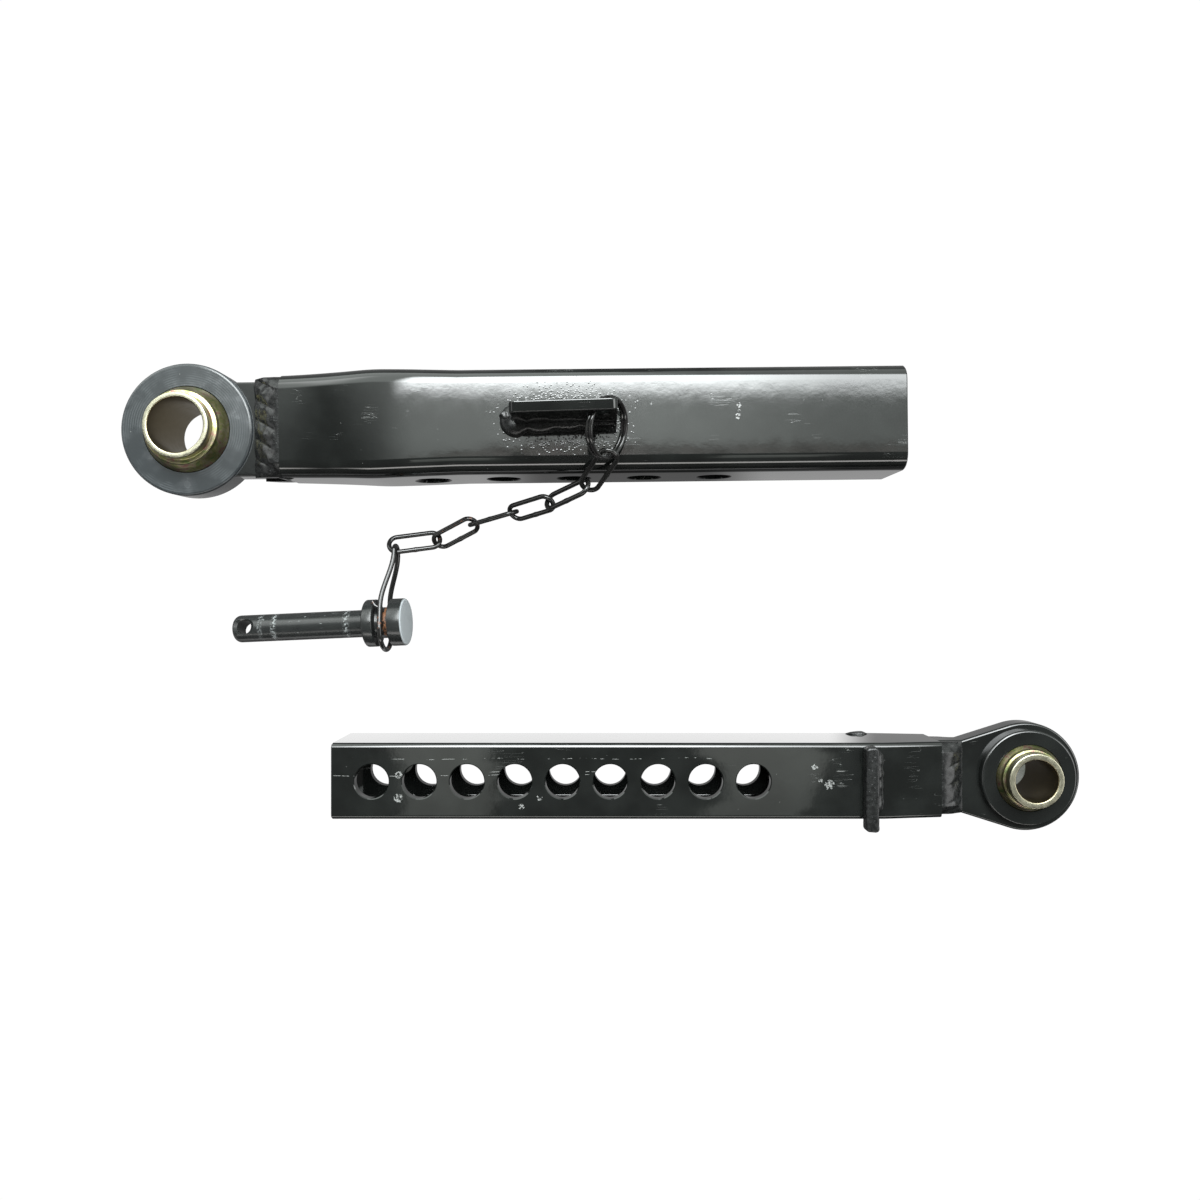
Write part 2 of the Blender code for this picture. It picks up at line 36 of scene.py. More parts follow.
# Painted light and shade that the floor gives to the gloss, with dim bands for the tube's and bar's
# shadows: (low Y, high Y, softness, strength), in metres
FLOOR_GLOW = (
    (-9.0, -0.118, 0.004, 0.15),
    (-0.118, -0.085, 0.004, 0.35),
    (-0.085, -0.050, 0.010, 1.8),
    (-0.050, 0.042, 0.006, 0.22),
    (0.042, 0.070, 0.006, 0.55),
    (0.070, 9.0, 0.004, 0.38),
)
# the front bands fade out past this X, and the rear ones get a painted shade between these two
FLOOR_GLOW_END_X = 0.125
FLOOR_GLOW_SHADE_X = (-0.052, 0.075)
# Floor, in metres: half its side, how far it lies below the object, and the X beyond which ground
# that is nearly enclosed looks shaded. Its white is a strength.
FLOOR_SIDE = 3.0
FLOOR_GAP = 0.0003
FLOOR_SHADE_X = 0.1
FLOOR_WHITE = 1.02

# Light of each part of the room, as a colour and a strength
ROOM = {
    "rear ceiling": ((0.93, 1.0, 0.96), 3.6),
    "overhead dark": ((0.85, 0.62, 0.50), 0.42),
    "overhead pale": ((0.95, 0.90, 0.84), 1.9),
    "seam": ((1.0, 1.0, 1.0), 9.0),
    "front ceiling": ((0.95, 1.0, 0.93), 1.5),
    "everywhere": ((1.0, 0.99, 0.96), 0.14),
    "rear box halo": ((0.95, 0.99, 1.0), 6.0),
    "rear box": ((0.95, 0.99, 1.0), 19.0),
    "rear left box": ((1.0, 1.0, 1.0), 3.0),
    "front lamp": ((1.0, 0.98, 0.95), 7.0),
    "right box": ((1.0, 1.0, 1.0), 4.5),
    "left box": ((1.0, 1.0, 1.0), 1.6),
}
# the smallest part of a direction that another is divided by
LOWEST = 0.02
# vector operations whose answer is a number
NUMBER_ANSWERS = ("DISTANCE", "LENGTH", "DOT_PRODUCT")

# Colours of black paint and bare metal, blooms of the zinc plating by noise level, and the pin's worn
# bands as (low, high, softness, share) along its axis
PAINT = (0.0032, 0.0036, 0.0034)
BARE = (0.20, 0.205, 0.20)
ZINC_BLOOMS = (
    (0.34, (0.11, 0.17, 0.06)),
    (0.46, (0.22, 0.20, 0.09)),
    (0.55, (0.25, 0.24, 0.15)),
    (0.64, (0.26, 0.12, 0.11)),
    (0.74, (0.20, 0.18, 0.08)),
)
PIN_WORN = ((71.6, 73.6, 1.2, 1.0), (79.5, 81.5, 0.8, 0.5), (31.0, 33.0, 1.6, 1.0))
# chips in the paint as (x, y, z, radius), and long scratches along X as (y, low x, high x)
TUBE_MARKS = (
    (68.5, 98.6, 54.0, 1.1),
    (68.0, 93.0, 54.0, 1.2),
    (68.6, 95.8, 54.0, 0.6),
    (-149.0, 111.0, 47.0, 1.0),
    (24.0, 99.5, 54.0, 0.6),
    (-9.0, 70.0, 52.0, 0.8),
)
BAR_MARKS = (
    (-107.5, -92.0, 40.0, 1.6),
    (-107.5, -104.0, 40.0, 2.0),
    (-43.3, -108.6, 40.0, 1.4),
    (-33.8, -104.0, 40.0, 1.3),
    (110.0, -88.0, 40.0, 1.5),
    (118.0, -97.0, 40.0, 2.2),
    (113.0, -95.0, 40.0, 1.0),
)
BAR_LINES = ((-92.1, -142.0, -8.0), (-83.6, -110.0, 60.0), (-90.6, -60.0, 10.0))

# Camera: its place, its lens for a 36 mm sensor, and the picture's shift
CAMERA_AT = (1.45, 1.5, 533.0)
CAMERA_LENS = 28.29
CAMERA_SHIFT = (-0.0058, -0.0033)

# Outer tube, along X from its eye's centre
TUBE_YAW = math.radians(0.6)
TUBE_SIZE = 54.0
TUBE_WALL = 5.5
TUBE_CORNER = 8.5
TUBE_MOUTH_X = 375.0
# (x, width, height) from the even section to the pressed end
TUBE_TAPER = ((146.0, 54.0, 54.0), (101.0, 56.6, 54.0), (84.0, 55.0, 46.0), (52.5, 53.4, 38.0))
TUBE_HOLE_X = (129.0, 166.5, 204.0, 241.5, 279.0)
PIN_HOLE_RADIUS = 9.0
HOLE_CHAMFER = 0.5

# Swivel eye of the tube
TUBE_EYE_RADIUS = 35.0
TUBE_EYE_HALF = 8.4
TUBE_BALL_RADIUS = 24.2
TUBE_NECK_WIDTH = 50.0
TUBE_NECK_HALF = 7.2
TUBE_WELD_X = (36.0, 52.4)

# Inner bar, along X from the middle of its length at the world's origin
BAR_Y = -95.5
BAR_SIZE = 40.0
BAR_WALL = 5.0
BAR_CORNER = 2.5
BAR_X = (-143.0, 147.0, 178.0)    # free end, start of the taper, eye's end
BAR_END_HEIGHT = 32.0
BAR_HOLE_FIRST_X = -121.8
BAR_HOLE_PITCH = 25.0
BAR_HOLE_COUNT = 9

# Swivel eye of the bar
BAR_EYE_RADIUS = 29.0
BAR_EYE_HALF = 6.5
BAR_BOSS_RADIUS = 25.5
BAR_BOSS_HALF = 11.0
BAR_BALL_RADIUS = 20.8
BAR_NECK_WIDTH = 39.0
BAR_WELD_X = (192.0, 178.2)
SEAT_GAP = 0.3
# Swivel balls: ball radius, half length, bore, collar's radius, and radius and height of its step
TUBE_BALL = (TUBE_BALL_RADIUS, 22.0, 14.35, 17.0, 19.4, 16.2)
BAR_BALL = (BAR_BALL_RADIUS, 20.0, 11.2, 14.5, 15.8, 14.8)

# Stop strip over the bar
STOP_X = (135.2, 142.2)
STOP_Y = (-120.6, -76.6)
STOP_HEIGHT = 7.0
SIDE_RUN_X = 141.0

# Lug on the tube, from the tube's eye centre
LUG_X = (175.4, 227.0)
LUG_THICKNESS = 5.5
LUG_HEIGHT = 35.0
LUG_YAW = math.radians(1.2)
LUG_LEAN = 0.35
LUG_HOLE = (9.9, 8.7, 6.0)    # in from the right end, down from the top, radius

# Split ring, chain and wire loop
RING_TURN = math.radians(-14.0)
RING_TILT = math.radians(57.0)
RING_RADIUS = 14.8
RING_WIRE = 2.2
RING_PLAY = 4.0
CHAIN_WIRE = 2.7
CHAIN_CLEARANCE = 0.12
CHAIN_WIDTH = 12.0
CHAIN_INNER = 25.3
CHAIN_PLAY = 3.3
CHAIN_BEND = (CHAIN_WIDTH - CHAIN_WIRE) / 2
# heading, drop and roll of each link, in degrees, from the ring to the pin
CHAIN_LINKS = (
    (231.0, 41.0, -20.0),
    (201.0, 32.5, 42.0),
    (193.0, 32.5, -36.0),
    (194.0, 19.0, 84.0),
    (205.0, 20.5, -34.0),
    (188.0, -8.0, 24.0),
)
LOOP_WIRE = 2.7
LOOP_STUB_WIRE = 2.5
LOOP_PIN_RADIUS = 11.2
LOOP_LENGTH = 42.5

# Locking pin, along its axis from its head
PIN_HEAD_TO_GROOVE = 12.0
PIN_ROLL = math.radians(12.0)
PIN_LENGTH = 96.8
PIN_HEAD_RADIUS = 13.0
PIN_HEAD_LENGTH = 8.0
PIN_GROOVE_RADIUS = 8.5
PIN_GROOVE_END = 16.0
PIN_COLLAR_END = 22.0
PIN_SHAFT_RADIUS = 7.5
PIN_TIP_CHAMFER = 3.5
PIN_TIP_HOLE = (89.8, 4.0, 5.6)    # place along the pin, radius, radius of its mouth


# ---------------------------------------------------------------- shapes


def arc(centre, radius, start, end, steps):
    """Points on an arc, with angles in degrees."""
    angles = [math.radians(start + (end - start) * i / steps) for i in range(steps + 1)]
    return [(centre[0] + radius * math.cos(a), centre[1] + radius * math.sin(a)) for a in angles]


def rounded_rectangle(width, height, radius, steps=12):
    across, up = width / 2 - radius, height / 2 - radius
    corners = ((across, up, 0), (-across, up, 90), (-across, -up, 180), (across, -up, 270))
    points = []
    for x, y, start in corners:
        points += arc((x, y), radius, start, start + 90, steps)
    return points


def new_object(name, data):
    made = bpy.data.objects.new(name, data)
    bpy.context.scene.collection.objects.link(made)
    return made


def mesh_piece(name, points, faces, place=None):
    data = bpy.data.meshes.new(name)
    data.from_pydata([Vector(p) * MM for p in points], [], faces)
    data.validate()
    if place is not None:
        data.transform(place)
    return new_object(name, data)


def loft(name, rings, place=None, closed=False):
    """A skin over rings of equal length. Open ends are capped, and a closed loft has none."""
    count = len(rings[0])
    points = [p for ring in rings for p in ring]
    spans = len(rings) if closed else len(rings) - 1
    faces = []
    for i in range(spans):
        a, b = i * count, (i + 1) % len(rings) * count
        faces += [(a + j, a + (j + 1) % count, b + (j + 1) % count, b + j) for j in range(count)]
    if not closed:
        faces.append(tuple(reversed(range(count))))
        faces.append(tuple(range((len(rings) - 1) * count, len(rings) * count)))
    return mesh_piece(name, points, faces, place)


def turned(name, profile, place=None, steps=96, closed=True):
    """A (radius, height) profile turned about Z. A closed one is a ring, an open one is capped."""
    rings = []
    if closed:
        for i in range(steps):
            a = -2 * math.pi * i / steps
            rings.append([(r * math.cos(a), r * math.sin(a), z) for r, z in profile])
        return loft(name, rings, place, closed=True)
    for r, z in profile:
        angles = [2 * math.pi * i / steps for i in range(steps)]
        rings.append([(r * math.cos(a), r * math.sin(a), z) for a in angles])
    return loft(name, rings, place)


def prism(name, outline, low, high, place=None):
    rings = [[(x, y, z) for x, y in outline] for z in (low, high)]
    return loft(name, rings, place)


def apply_modifiers(piece):
    graph = bpy.context.evaluated_depsgraph_get()
    made = bpy.data.meshes.new_from_object(piece.evaluated_get(graph))
    piece.modifiers.clear()
    piece.data = made


def combine(body, tool, operation):
    """Join or cut with another piece, which is then removed."""
    change = body.modifiers.new(operation.lower(), "BOOLEAN")
    change.operation = operation
    change.object = tool
    apply_modifiers(body)
    bpy.data.objects.remove(tool, do_unlink=True)


def round_edges(piece, width, segments=3, angle=35.0):
    change = piece.modifiers.new("rounding", "BEVEL")
    change.width = width * MM
    change.segments = segments
    change.limit_method = "ANGLE"
    change.angle_limit = math.radians(angle)
    apply_modifiers(piece)


def smooth(piece, angle=32.0, weighted=True):
    """Smooth shading that keeps flat faces flat and real edges sharp."""
    piece.data.shade_smooth()
    piece.data.set_sharp_from_angle(angle=math.radians(angle))
    if weighted:
        change = piece.modifiers.new("flat faces", "WEIGHTED_NORMAL")
        change.keep_sharp = True
        apply_modifiers(piece)


def ripple_noise(point, size, seed=0.0):
    return noise.noise(Vector(point) / size + Vector((seed, seed, seed)))


def roughen(piece, height, size, seed=0.0):
    """Push every point along its normal by smooth noise, sizes in millimetres."""
    data = piece.data
    normals = [v.normal.copy() for v in data.vertices]
    for vertex, normal in zip(data.vertices, normals):
        vertex.co += normal * ripple_noise(vertex.co / MM, size, seed) * height * MM


def subdivide(piece, longest):
    """Split long edges so that a surface can take small shapes."""
    mesh = bmesh.new()
    mesh.from_mesh(piece.data)
    for _ in range(5):
        edges = [e for e in mesh.edges if e.calc_length() > longest * MM]
        if not edges:
            break
        bmesh.ops.subdivide_edges(mesh, edges=edges, cuts=1, use_grid_fill=True)
    mesh.to_mesh(piece.data)
    mesh.free()


def hole_cutter(name, radius, half, place):
    """A drill with a flared mouth at each face, half the wall's depth from the middle."""
    flare = HOLE_CHAMFER
    profile = [
        (radius + flare * 3, -half - 2 * flare),
        (radius + flare, -half),
        (radius, flare - half),
        (radius, half - flare),
        (radius + flare, half),
        (radius + flare * 3, half + 2 * flare),
    ]
    return turned(name, profile, place, 72, closed=False)


def hollow(name, stations, wall, place):
    """A square section through (x, width, height, corner) stations, open at both ends."""
    outside, inside = [], []
    for x, width, height, corner in stations:
        outside.append([(x, y, z) for y, z in rounded_rectangle(width, height, corner)])
        inner = max(corner - wall, 1.0)
        size = (width - 2 * wall, height - 2 * wall)
        inside.append([(x, y, z) for y, z in rounded_rectangle(*size, inner)])
    edge = 0.6
    mouth = stations[0]
    sign = 1 if stations[0][0] > stations[-1][0] else -1
    lip = [(mouth[0], y, z) for y, z in rounded_rectangle(
        mouth[1] - 2 * edge, mouth[2] - 2 * edge, max(mouth[3] - edge, 0.5))]
    outside[0] = [(x - sign * edge, y, z) for x, y, z in outside[0]]
    return loft(name, [lip] + outside + inside[::-1], place, closed=True)


def wire(name, points, thickness, place, closed=True, sides=6):
    """A round wire through points, as a mesh."""
    data = bpy.data.curves.new(name, "CURVE")
    data.dimensions = "3D"
    data.bevel_depth = thickness / 2 * MM
    data.bevel_resolution = sides
    data.use_fill_caps = True
    spline = data.splines.new("POLY")
    spline.points.add(len(points) - 1)
    for target, point in zip(spline.points, points):
        target.co = (*(Vector(point) * MM), 1.0)
    spline.use_cyclic_u = closed
    curve = new_object(name + "_path", data)
    graph = bpy.context.evaluated_depsgraph_get()
    made = new_object(name, bpy.data.meshes.new_from_object(curve.evaluated_get(graph)))
    bpy.data.objects.remove(curve, do_unlink=True)
    made.data.transform(place)
    made.data.shade_smooth()
    return made


def axes_matrix(origin, x_axis, y_axis):
    """A place in metres from an origin in metres and two unit axes."""
    turned_axes = Matrix((x_axis, y_axis, x_axis.cross(y_axis))).transposed().to_4x4()
    return Matrix.Translation(origin) @ turned_axes


def shifted(x, y=0.0, z=0.0):
    return Matrix.Translation(Vector((x, y, z)) * MM)


def rounded_side(radius, half, rim, steps):
    """The edge of a disc, from its lower face to its upper one, with rounded rims."""
    lower = arc((radius - rim, rim - half), rim, -90, 0, steps)
    return lower + arc((radius - rim, half - rim), rim, 0, 90, steps)


def join(body, extra):
    """Put one mesh's faces into another piece."""
    mesh = bmesh.new()
    mesh.from_mesh(body.data)
    mesh.from_mesh(extra.data)
    mesh.to_mesh(body.data)
    mesh.free()
    bpy.data.objects.remove(extra, do_unlink=True)


# ---------------------------------------------------------------- materials


def new_material(name, roughness, specular=0.5, metallic=0.0):
    made = bpy.data.materials.new(name)
    made.use_nodes = True
    nodes = made.node_tree.nodes
    shader = nodes["Principled BSDF"]
    shader.inputs["Roughness"].default_value = roughness
    shader.inputs["Specular IOR Level"].default_value = specular
    shader.inputs["Metallic"].default_value = metallic
    return made, shader, nodes.new("ShaderNodeTexCoord").outputs["Object"]


def feed(socket, value):
    if isinstance(value, bpy.types.NodeSocket):
        socket.id_data.links.new(value, socket)
    elif value is not None:
        socket.default_value = value


def new_node(kind, *values):
    """A node fed with values in order. It goes into the tree of the first socket among them."""
    tree = next(value.id_data for value in values if isinstance(value, bpy.types.NodeSocket))
    made = tree.nodes.new(kind)
    for socket, value in zip(made.inputs, values):
        feed(socket, value)
    return made


def calc(operation, *values):
    made = new_node("ShaderNodeMath", *values)
    made.operation = operation
    return made.outputs[0]


def minus(first, second):
    return calc("SUBTRACT", first, second)


def product(first, *others):
    for other in others:
        first = calc("MULTIPLY", first, other)
    return first


def highest(first, *others):
    for other in others:
        first = calc("MAXIMUM", first, other)
    return first


def vector_calc(operation, *values):
    """Vector math. Its answer is a number for a length, a distance or a dot product."""
    made = new_node("ShaderNodeVectorMath", *values)
    made.operation = operation
    return made.outputs["Value" if operation in NUMBER_ANSWERS else "Vector"]


def split_axes(place):
    return tuple(new_node("ShaderNodeSeparateXYZ", place).outputs)


def fade(value, low, high, start=0.0, end=1.0):
    """Start below low, end above high, and a smooth step between."""
    made = new_node("ShaderNodeMapRange", value, low, high, start, end)
    made.interpolation_type = "SMOOTHSTEP"
    return made.outputs[0]


def band(value, low, high, soft):
    """One between low and high, nothing outside them, with soft ends."""
    rise = fade(value, low - soft, low + soft)
    fall = fade(value, high - soft, high + soft, 1.0, 0.0)
    return product(rise, fall)


def noise_texture(place, scale, detail=2.0, roughness=0.5, distortion=0.0):
    made = new_node("ShaderNodeTexNoise", place)
    made.inputs["Scale"].default_value = scale
    made.inputs["Detail"].default_value = detail
    made.inputs["Roughness"].default_value = roughness
    made.inputs["Distortion"].default_value = distortion
    return made.outputs["Fac"]


def grain(place, size, *detail):
    """Smooth noise from 0 to 1 whose lumps are about size millimetres across."""
    return noise_texture(place, 1.0 / (size * MM), *detail)


def stretched(place, scale, turn=0.0):
    made = new_node("ShaderNodeMapping", place)
    made.inputs["Rotation"].default_value = (0.0, 0.0, turn)
    made.inputs["Scale"].default_value = scale
    return made.outputs[0]


def blend_colour(factor, first, second):
    colours = [c if isinstance(c, bpy.types.NodeSocket) else (*c, 1.0) for c in (first, second)]
    made = new_node("ShaderNodeMix", factor, None, None, None, None, None, *colours)
    made.data_type = "RGBA"
    return made.outputs[2]


def surface(shader, colour, roughness, layers):
    """Link a colour, a roughness and a stack of (height socket, depth in millimetres) bumps."""
    feed(shader.inputs["Base Color"], colour)
    feed(shader.inputs["Roughness"], roughness)
    last = None
    for height, depth in layers:
        made = shader.id_data.nodes.new("ShaderNodeBump")
        fed = (("Strength", 1.0), ("Distance", depth * MM), ("Height", height), ("Normal", last))
        for name, value in fed:
            feed(made.inputs[name], value)
        last = made.outputs[0]
    feed(shader.inputs["Normal"], last)


def cells(place, spacing):
    """Cells a spacing apart: the distance from a cell's middle, and a number that each cell has."""
    made = new_node("ShaderNodeTexVoronoi", place)
    made.inputs["Scale"].default_value = 1.0 / (spacing * MM)
    split = new_node("ShaderNodeSeparateColor", made.outputs["Color"])
    return made.outputs["Distance"], split.outputs[0]


def specks(place, spacing, size, share):
    """Scattered dots: one per cell of a spacing, in a share of the cells."""
    distance, number = cells(place, spacing)
    near = fade(distance, size / spacing * 0.6, size / spacing, 1.0, 0.0)
    return product(near, calc("LESS_THAN", number, share))


def scratches(place, turn, amount):
    """Thin broken lines that run along X turned by an angle."""
    lines = grain(stretched(place, (0.06, 1.0, 1.0), turn), 2.5, 1.0)
    thin = calc("ABSOLUTE", minus(lines, 0.5))
    thin = fade(thin, 0.001, 0.0035, 1.0, 0.0)
    patches = fade(grain(place, 16.0, 1.0), 0.66 - amount, 0.70 - amount)
    return product(thin, patches)


def spots(place, marks):
    """Chipped spots at (x, y, z, radius) in millimetres, with ragged edges."""
    ragged = grain(place, 1.1, 3.0, 0.7)
    torn = calc("GREATER_THAN", ragged, 0.5)
    chips = []
    for x, y, z, radius in marks:
        gap = vector_calc("DISTANCE", place, Vector((x, y, z)) * MM)
        size = calc("MULTIPLY", ragged, 2 * radius * MM)
        chips.append(product(calc("LESS_THAN", gap, size), torn))
    return highest(*chips)


def dashes(place, lines):
    """Long fine scratches along X, broken up: (y, low x, high x) in millimetres."""
    x, y, _ = split_axes(place)
    across = calc("MULTIPLY_ADD", grain(place, 30.0, 1.0), 3.0 * MM, y)
    broken = fade(grain(stretched(place, (1.0, 0.2, 0.2)), 4.0, 3.0), 0.53, 0.59)
    runs = []
    for line_y, low, high in lines:
        line = band(across, (line_y + 1.42) * MM, (line_y + 1.58) * MM, 0.1 * MM)
        runs.append(product(line, band(x, low * MM, high * MM, 2.0 * MM)))
    return product(highest(*runs), broken)


def gloss_paint(name, marks=(), scratch=0.0, peel=1.0, spatter=None, roughness=0.05, lines=()):
    """Dipped gloss black: orange peel, dust, thin scratches and chips down to grey."""
    made, shader, place = new_material(name, roughness)
    dust = specks(place, 5.0, 0.2, 0.4)
    worn = highest(scratches(place, 0.03, scratch), scratches(place, 1.1, scratch - 0.06))
    mask = highest(product(dust, 0.35), product(worn, 0.3))
    if marks:
        mask = highest(mask, product(spots(place, marks), 0.55))
    if lines:
        mask = highest(mask, product(dashes(place, lines), 0.8))
    tone = fade(grain(place, 22.0, 3.0), 0.35, 0.7)
    colour = blend_colour(tone, PAINT, tuple(c * 1.7 for c in PAINT))
    haze = calc("MULTIPLY_ADD", grain(place, 9.0, 4.0), 0.05, roughness - 0.02)
    layers = [
        (grain(place, 0.7, 2.0), 0.0010 * peel),
        (grain(place, 1.8, 2.0), 0.0035 * peel),
        (grain(place, 7.0, 1.0), 0.010 * peel),
        (mask, -0.01),
    ]
    if spatter is not None:
        layers.append(spatter(place))
    rough = calc("MULTIPLY_ADD", mask, 0.4, haze)
    surface(shader, blend_colour(mask, colour, BARE), rough, layers)
    return made


def weld_paint_finish(name):
    """Gloss black over weld metal: softer than on rolled steel, and full of small pits."""
    made, shader, place = new_material(name, 0.2, 0.25)
    tone = fade(grain(place, 2.5, 3.0, 0.6), 0.35, 0.7)
    colour = blend_colour(tone, (0.003, 0.0032, 0.0032), (0.009, 0.0094, 0.0094))
    haze = calc("MULTIPLY_ADD", grain(place, 3.0, 3.0), 0.14, 0.20)
    pits = specks(place, 1.5, 0.5, 0.3)
    surface(shader, colour, haze, [(grain(place, 1.4, 2.0), 0.04), (pits, -0.04)])
    return made


def lug_spatter(place):
    """Small weld spatter on the tube, thick at the lug and gone a few centimetres away."""
    squeeze = 0.55
    middle = Vector((-19.3 * squeeze, 91.6, 54.0)) * MM
    gap = vector_calc("DISTANCE", stretched(place, (squeeze, 1.0, 1.0)), middle)
    reach = fade(gap, 7.0 * MM, 24.0 * MM, 0.9, 0.0)
    distance, number = cells(place, 1.0)
    dot = fade(distance, 0.1, 0.5, 1.0, 0.0)
    return product(dot, calc("LESS_THAN", number, reach)), 0.03


def flat_distance(place, centre):
    """How far a point lies from an upright axis through a centre, in metres."""
    level = vector_calc("MULTIPLY_ADD", place, (1.0, 1.0, 0.0), (-centre.x, -centre.y, 0.0))
    return vector_calc("LENGTH", level)


def eye_paint(name, centre, face_radius, roughness=0.24):
    """Satin black with fine rings round the centre, scuffs and dust. Its neck is darker and glossier."""
    made, shader, place = new_material(name, roughness, 0.38)
    rings = new_node("ShaderNodeTexWave", vector_calc("SUBTRACT", place, centre))
    rings.wave_type = "RINGS"
    rings.rings_direction = "Z"
    for socket, value in (("Scale", 260.0), ("Distortion", 1.2), ("Detail", 2.0)):
        rings.inputs[socket].default_value = value
    neck = calc("GREATER_THAN", flat_distance(place, centre), face_radius + 0.0003)
    patchy = fade(grain(place, 14.0, 2.0), 0.42, 0.62)
    patchy = product(patchy, minus(1.0, neck))
    lines = product(rings.outputs["Fac"], patchy)
    scuff = fade(grain(place, 9.0, 3.0, 0.5), 0.45, 0.8)
    dust = specks(place, 5.0, 0.2, 0.3)
    tone = blend_colour(scuff, (0.015, 0.0174, 0.0187), (0.021, 0.0240, 0.0259))
    tone = blend_colour(neck, tone, (0.004, 0.0045, 0.0045))
    tone = blend_colour(product(lines, 0.2), tone, (0.10, 0.11, 0.115))
    haze = fade(scuff, 0.0, 1.0, roughness - 0.04, roughness + 0.06)
    haze = calc("MULTIPLY_ADD", neck, -0.16, haze)
    layers = [(lines, 0.006), (grain(place, 2.0, 2.0), 0.008), (scuff, 0.012)]
    surface(shader, blend_colour(dust, tone, BARE), haze, layers)
    return made


def zinc_plate(name, centre, ring_height, bore, depth):
    """Thin yellow plating: pale at the end rings, green, pink and gold blooms round the ball.
    The last argument, depth, blends the blooms toward black, and the bore is a plain brown."""
    made, shader, place = new_material(name, 0.3, metallic=1.0)
    ramp = new_node("ShaderNodeValToRGB", grain(place, 4.5, 4.0, 0.7, 0.6))
    line = ramp.color_ramp
    for position, _ in ZINC_BLOOMS[1:-1]:
        line.elements.new(position)
    for element, (position, colour) in zip(line.elements, ZINC_BLOOMS):
        element.position = position
        element.color = (*colour, 1.0)
    z = split_axes(place)[2]
    above = calc("ABSOLUTE", minus(z, centre.z))
    pale = fade(above, ring_height - 0.006, ring_height - 0.001)
    colour = blend_colour(depth, ramp.outputs[0], (0.0, 0.0, 0.0))
    colour = blend_colour(pale, colour, (0.27, 0.26, 0.195))
    grit = product(specks(place, 1.4, 0.22, 0.2), 0.15)
    colour = blend_colour(grit, colour, (0.08, 0.06, 0.035))
    inside = fade(flat_distance(place, centre), bore + 0.0002, bore + 0.0006, 1.0, 0.0)
    colour = blend_colour(inside, colour, (0.17, 0.14, 0.085))
    rough = fade(grain(place, 3.0, 2.0), 0.35, 0.7, 0.29, 0.35)
    fine = grain(stretched(place, (1.0, 1.0, 12.0)), 1.2, 2.0)
    surface(shader, colour, rough, [(fine, 0.0008)])
    return made


def chain_paint(name, rust=0.0):
    """Dipped black wire with a little rust where it rubs."""
    made, shader, place = new_material(name, 0.1, 0.35)
    bare = fade(grain(place, 3.0, 4.0, 0.7), 0.70 - rust, 0.74 - rust)
    dust = product(specks(place, 2.0, 0.2, 0.4), 0.3)
    tone = blend_colour(grain(place, 4.0), (0.004, 0.004, 0.004), (0.010, 0.010, 0.0095))
    tone = blend_colour(bare, tone, (0.07, 0.028, 0.014))
    rough = fade(bare, 0.0, 1.0, 0.10, 0.5)
    colour = blend_colour(dust, tone, BARE)
    surface(shader, colour, rough, [(grain(place, 1.2, 3.0), 0.012)])
    return made


def axial(place, start, direction):
    """How far a point lies along an axis, in millimetres."""
    shift = vector_calc("SUBTRACT", place, start)
    return calc("DIVIDE", vector_calc("DOT_PRODUCT", shift, direction), MM)


def pin_steel(name, head, axis):
    """Dark turned steel: worn bands at PIN_WORN, rust in the groove, a pale rubbed head face."""
    made, shader, place = new_material(name, 0.3, 0.32)
    along = axial(place, head, axis)
    worn = [product(band(along, low, high, soft), share) for low, high, soft, share in PIN_WORN]
    torn = fade(grain(place, 1.4, 4.0, 0.7), 0.47, 0.58)
    wear = product(highest(*worn), torn)
    rub = fade(grain(stretched(place, (0.25, 1.0, 1.0)), 1.5, 4.0), 0.68, 0.74)
    wear = highest(wear, product(rub, 0.6))
    groove = band(along, PIN_HEAD_LENGTH - 0.1, PIN_HEAD_LENGTH + 3.2, 0.3)
    rusty = product(groove, fade(grain(place, 2.2, 4.0), 0.44, 0.56))
    face = fade(along, 0.25, 0.9, 1.0, 0.0)
    tone = blend_colour(grain(place, 5.0, 4.0), (0.006, 0.0068, 0.0068), (0.013, 0.0138, 0.0135))
    tone = blend_colour(wear, tone, (0.15, 0.16, 0.16))
    tone = blend_colour(rusty, tone, (0.10, 0.042, 0.018))
    rough = fade(highest(rusty, face), 0.0, 1.0, 0.22, 0.5)
    rings = grain(stretched(place, (6.0, 1.0, 1.0)), 2.0, 2.0)
    layers = [(rings, 0.012), (grain(place, 1.0, 3.0), 0.02)]
    surface(shader, blend_colour(face, tone, (0.24, 0.26, 0.27)), rough, layers)
    return made


# ---------------------------------------------------------------- pieces

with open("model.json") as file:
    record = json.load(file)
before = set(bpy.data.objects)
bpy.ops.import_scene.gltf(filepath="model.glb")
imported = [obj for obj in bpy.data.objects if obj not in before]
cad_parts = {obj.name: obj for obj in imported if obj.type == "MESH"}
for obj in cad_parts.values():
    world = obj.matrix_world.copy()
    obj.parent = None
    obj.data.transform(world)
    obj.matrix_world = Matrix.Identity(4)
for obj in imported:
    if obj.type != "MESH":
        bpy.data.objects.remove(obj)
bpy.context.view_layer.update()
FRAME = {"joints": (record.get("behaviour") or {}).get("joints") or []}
JOINTS = {joint["name"]: joint for joint in FRAME["joints"]}


def joint_point(name):
    return Vector(JOINTS[name]["pos_m"])


def wear_piece(piece, material, body, slot, *nodes):
    """Give a piece its material and body, and say which CAD nodes it stands for."""
    piece.data.materials.clear()
    piece.data.materials.append(material)
    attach(piece, body)
    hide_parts(*nodes)
    return piece


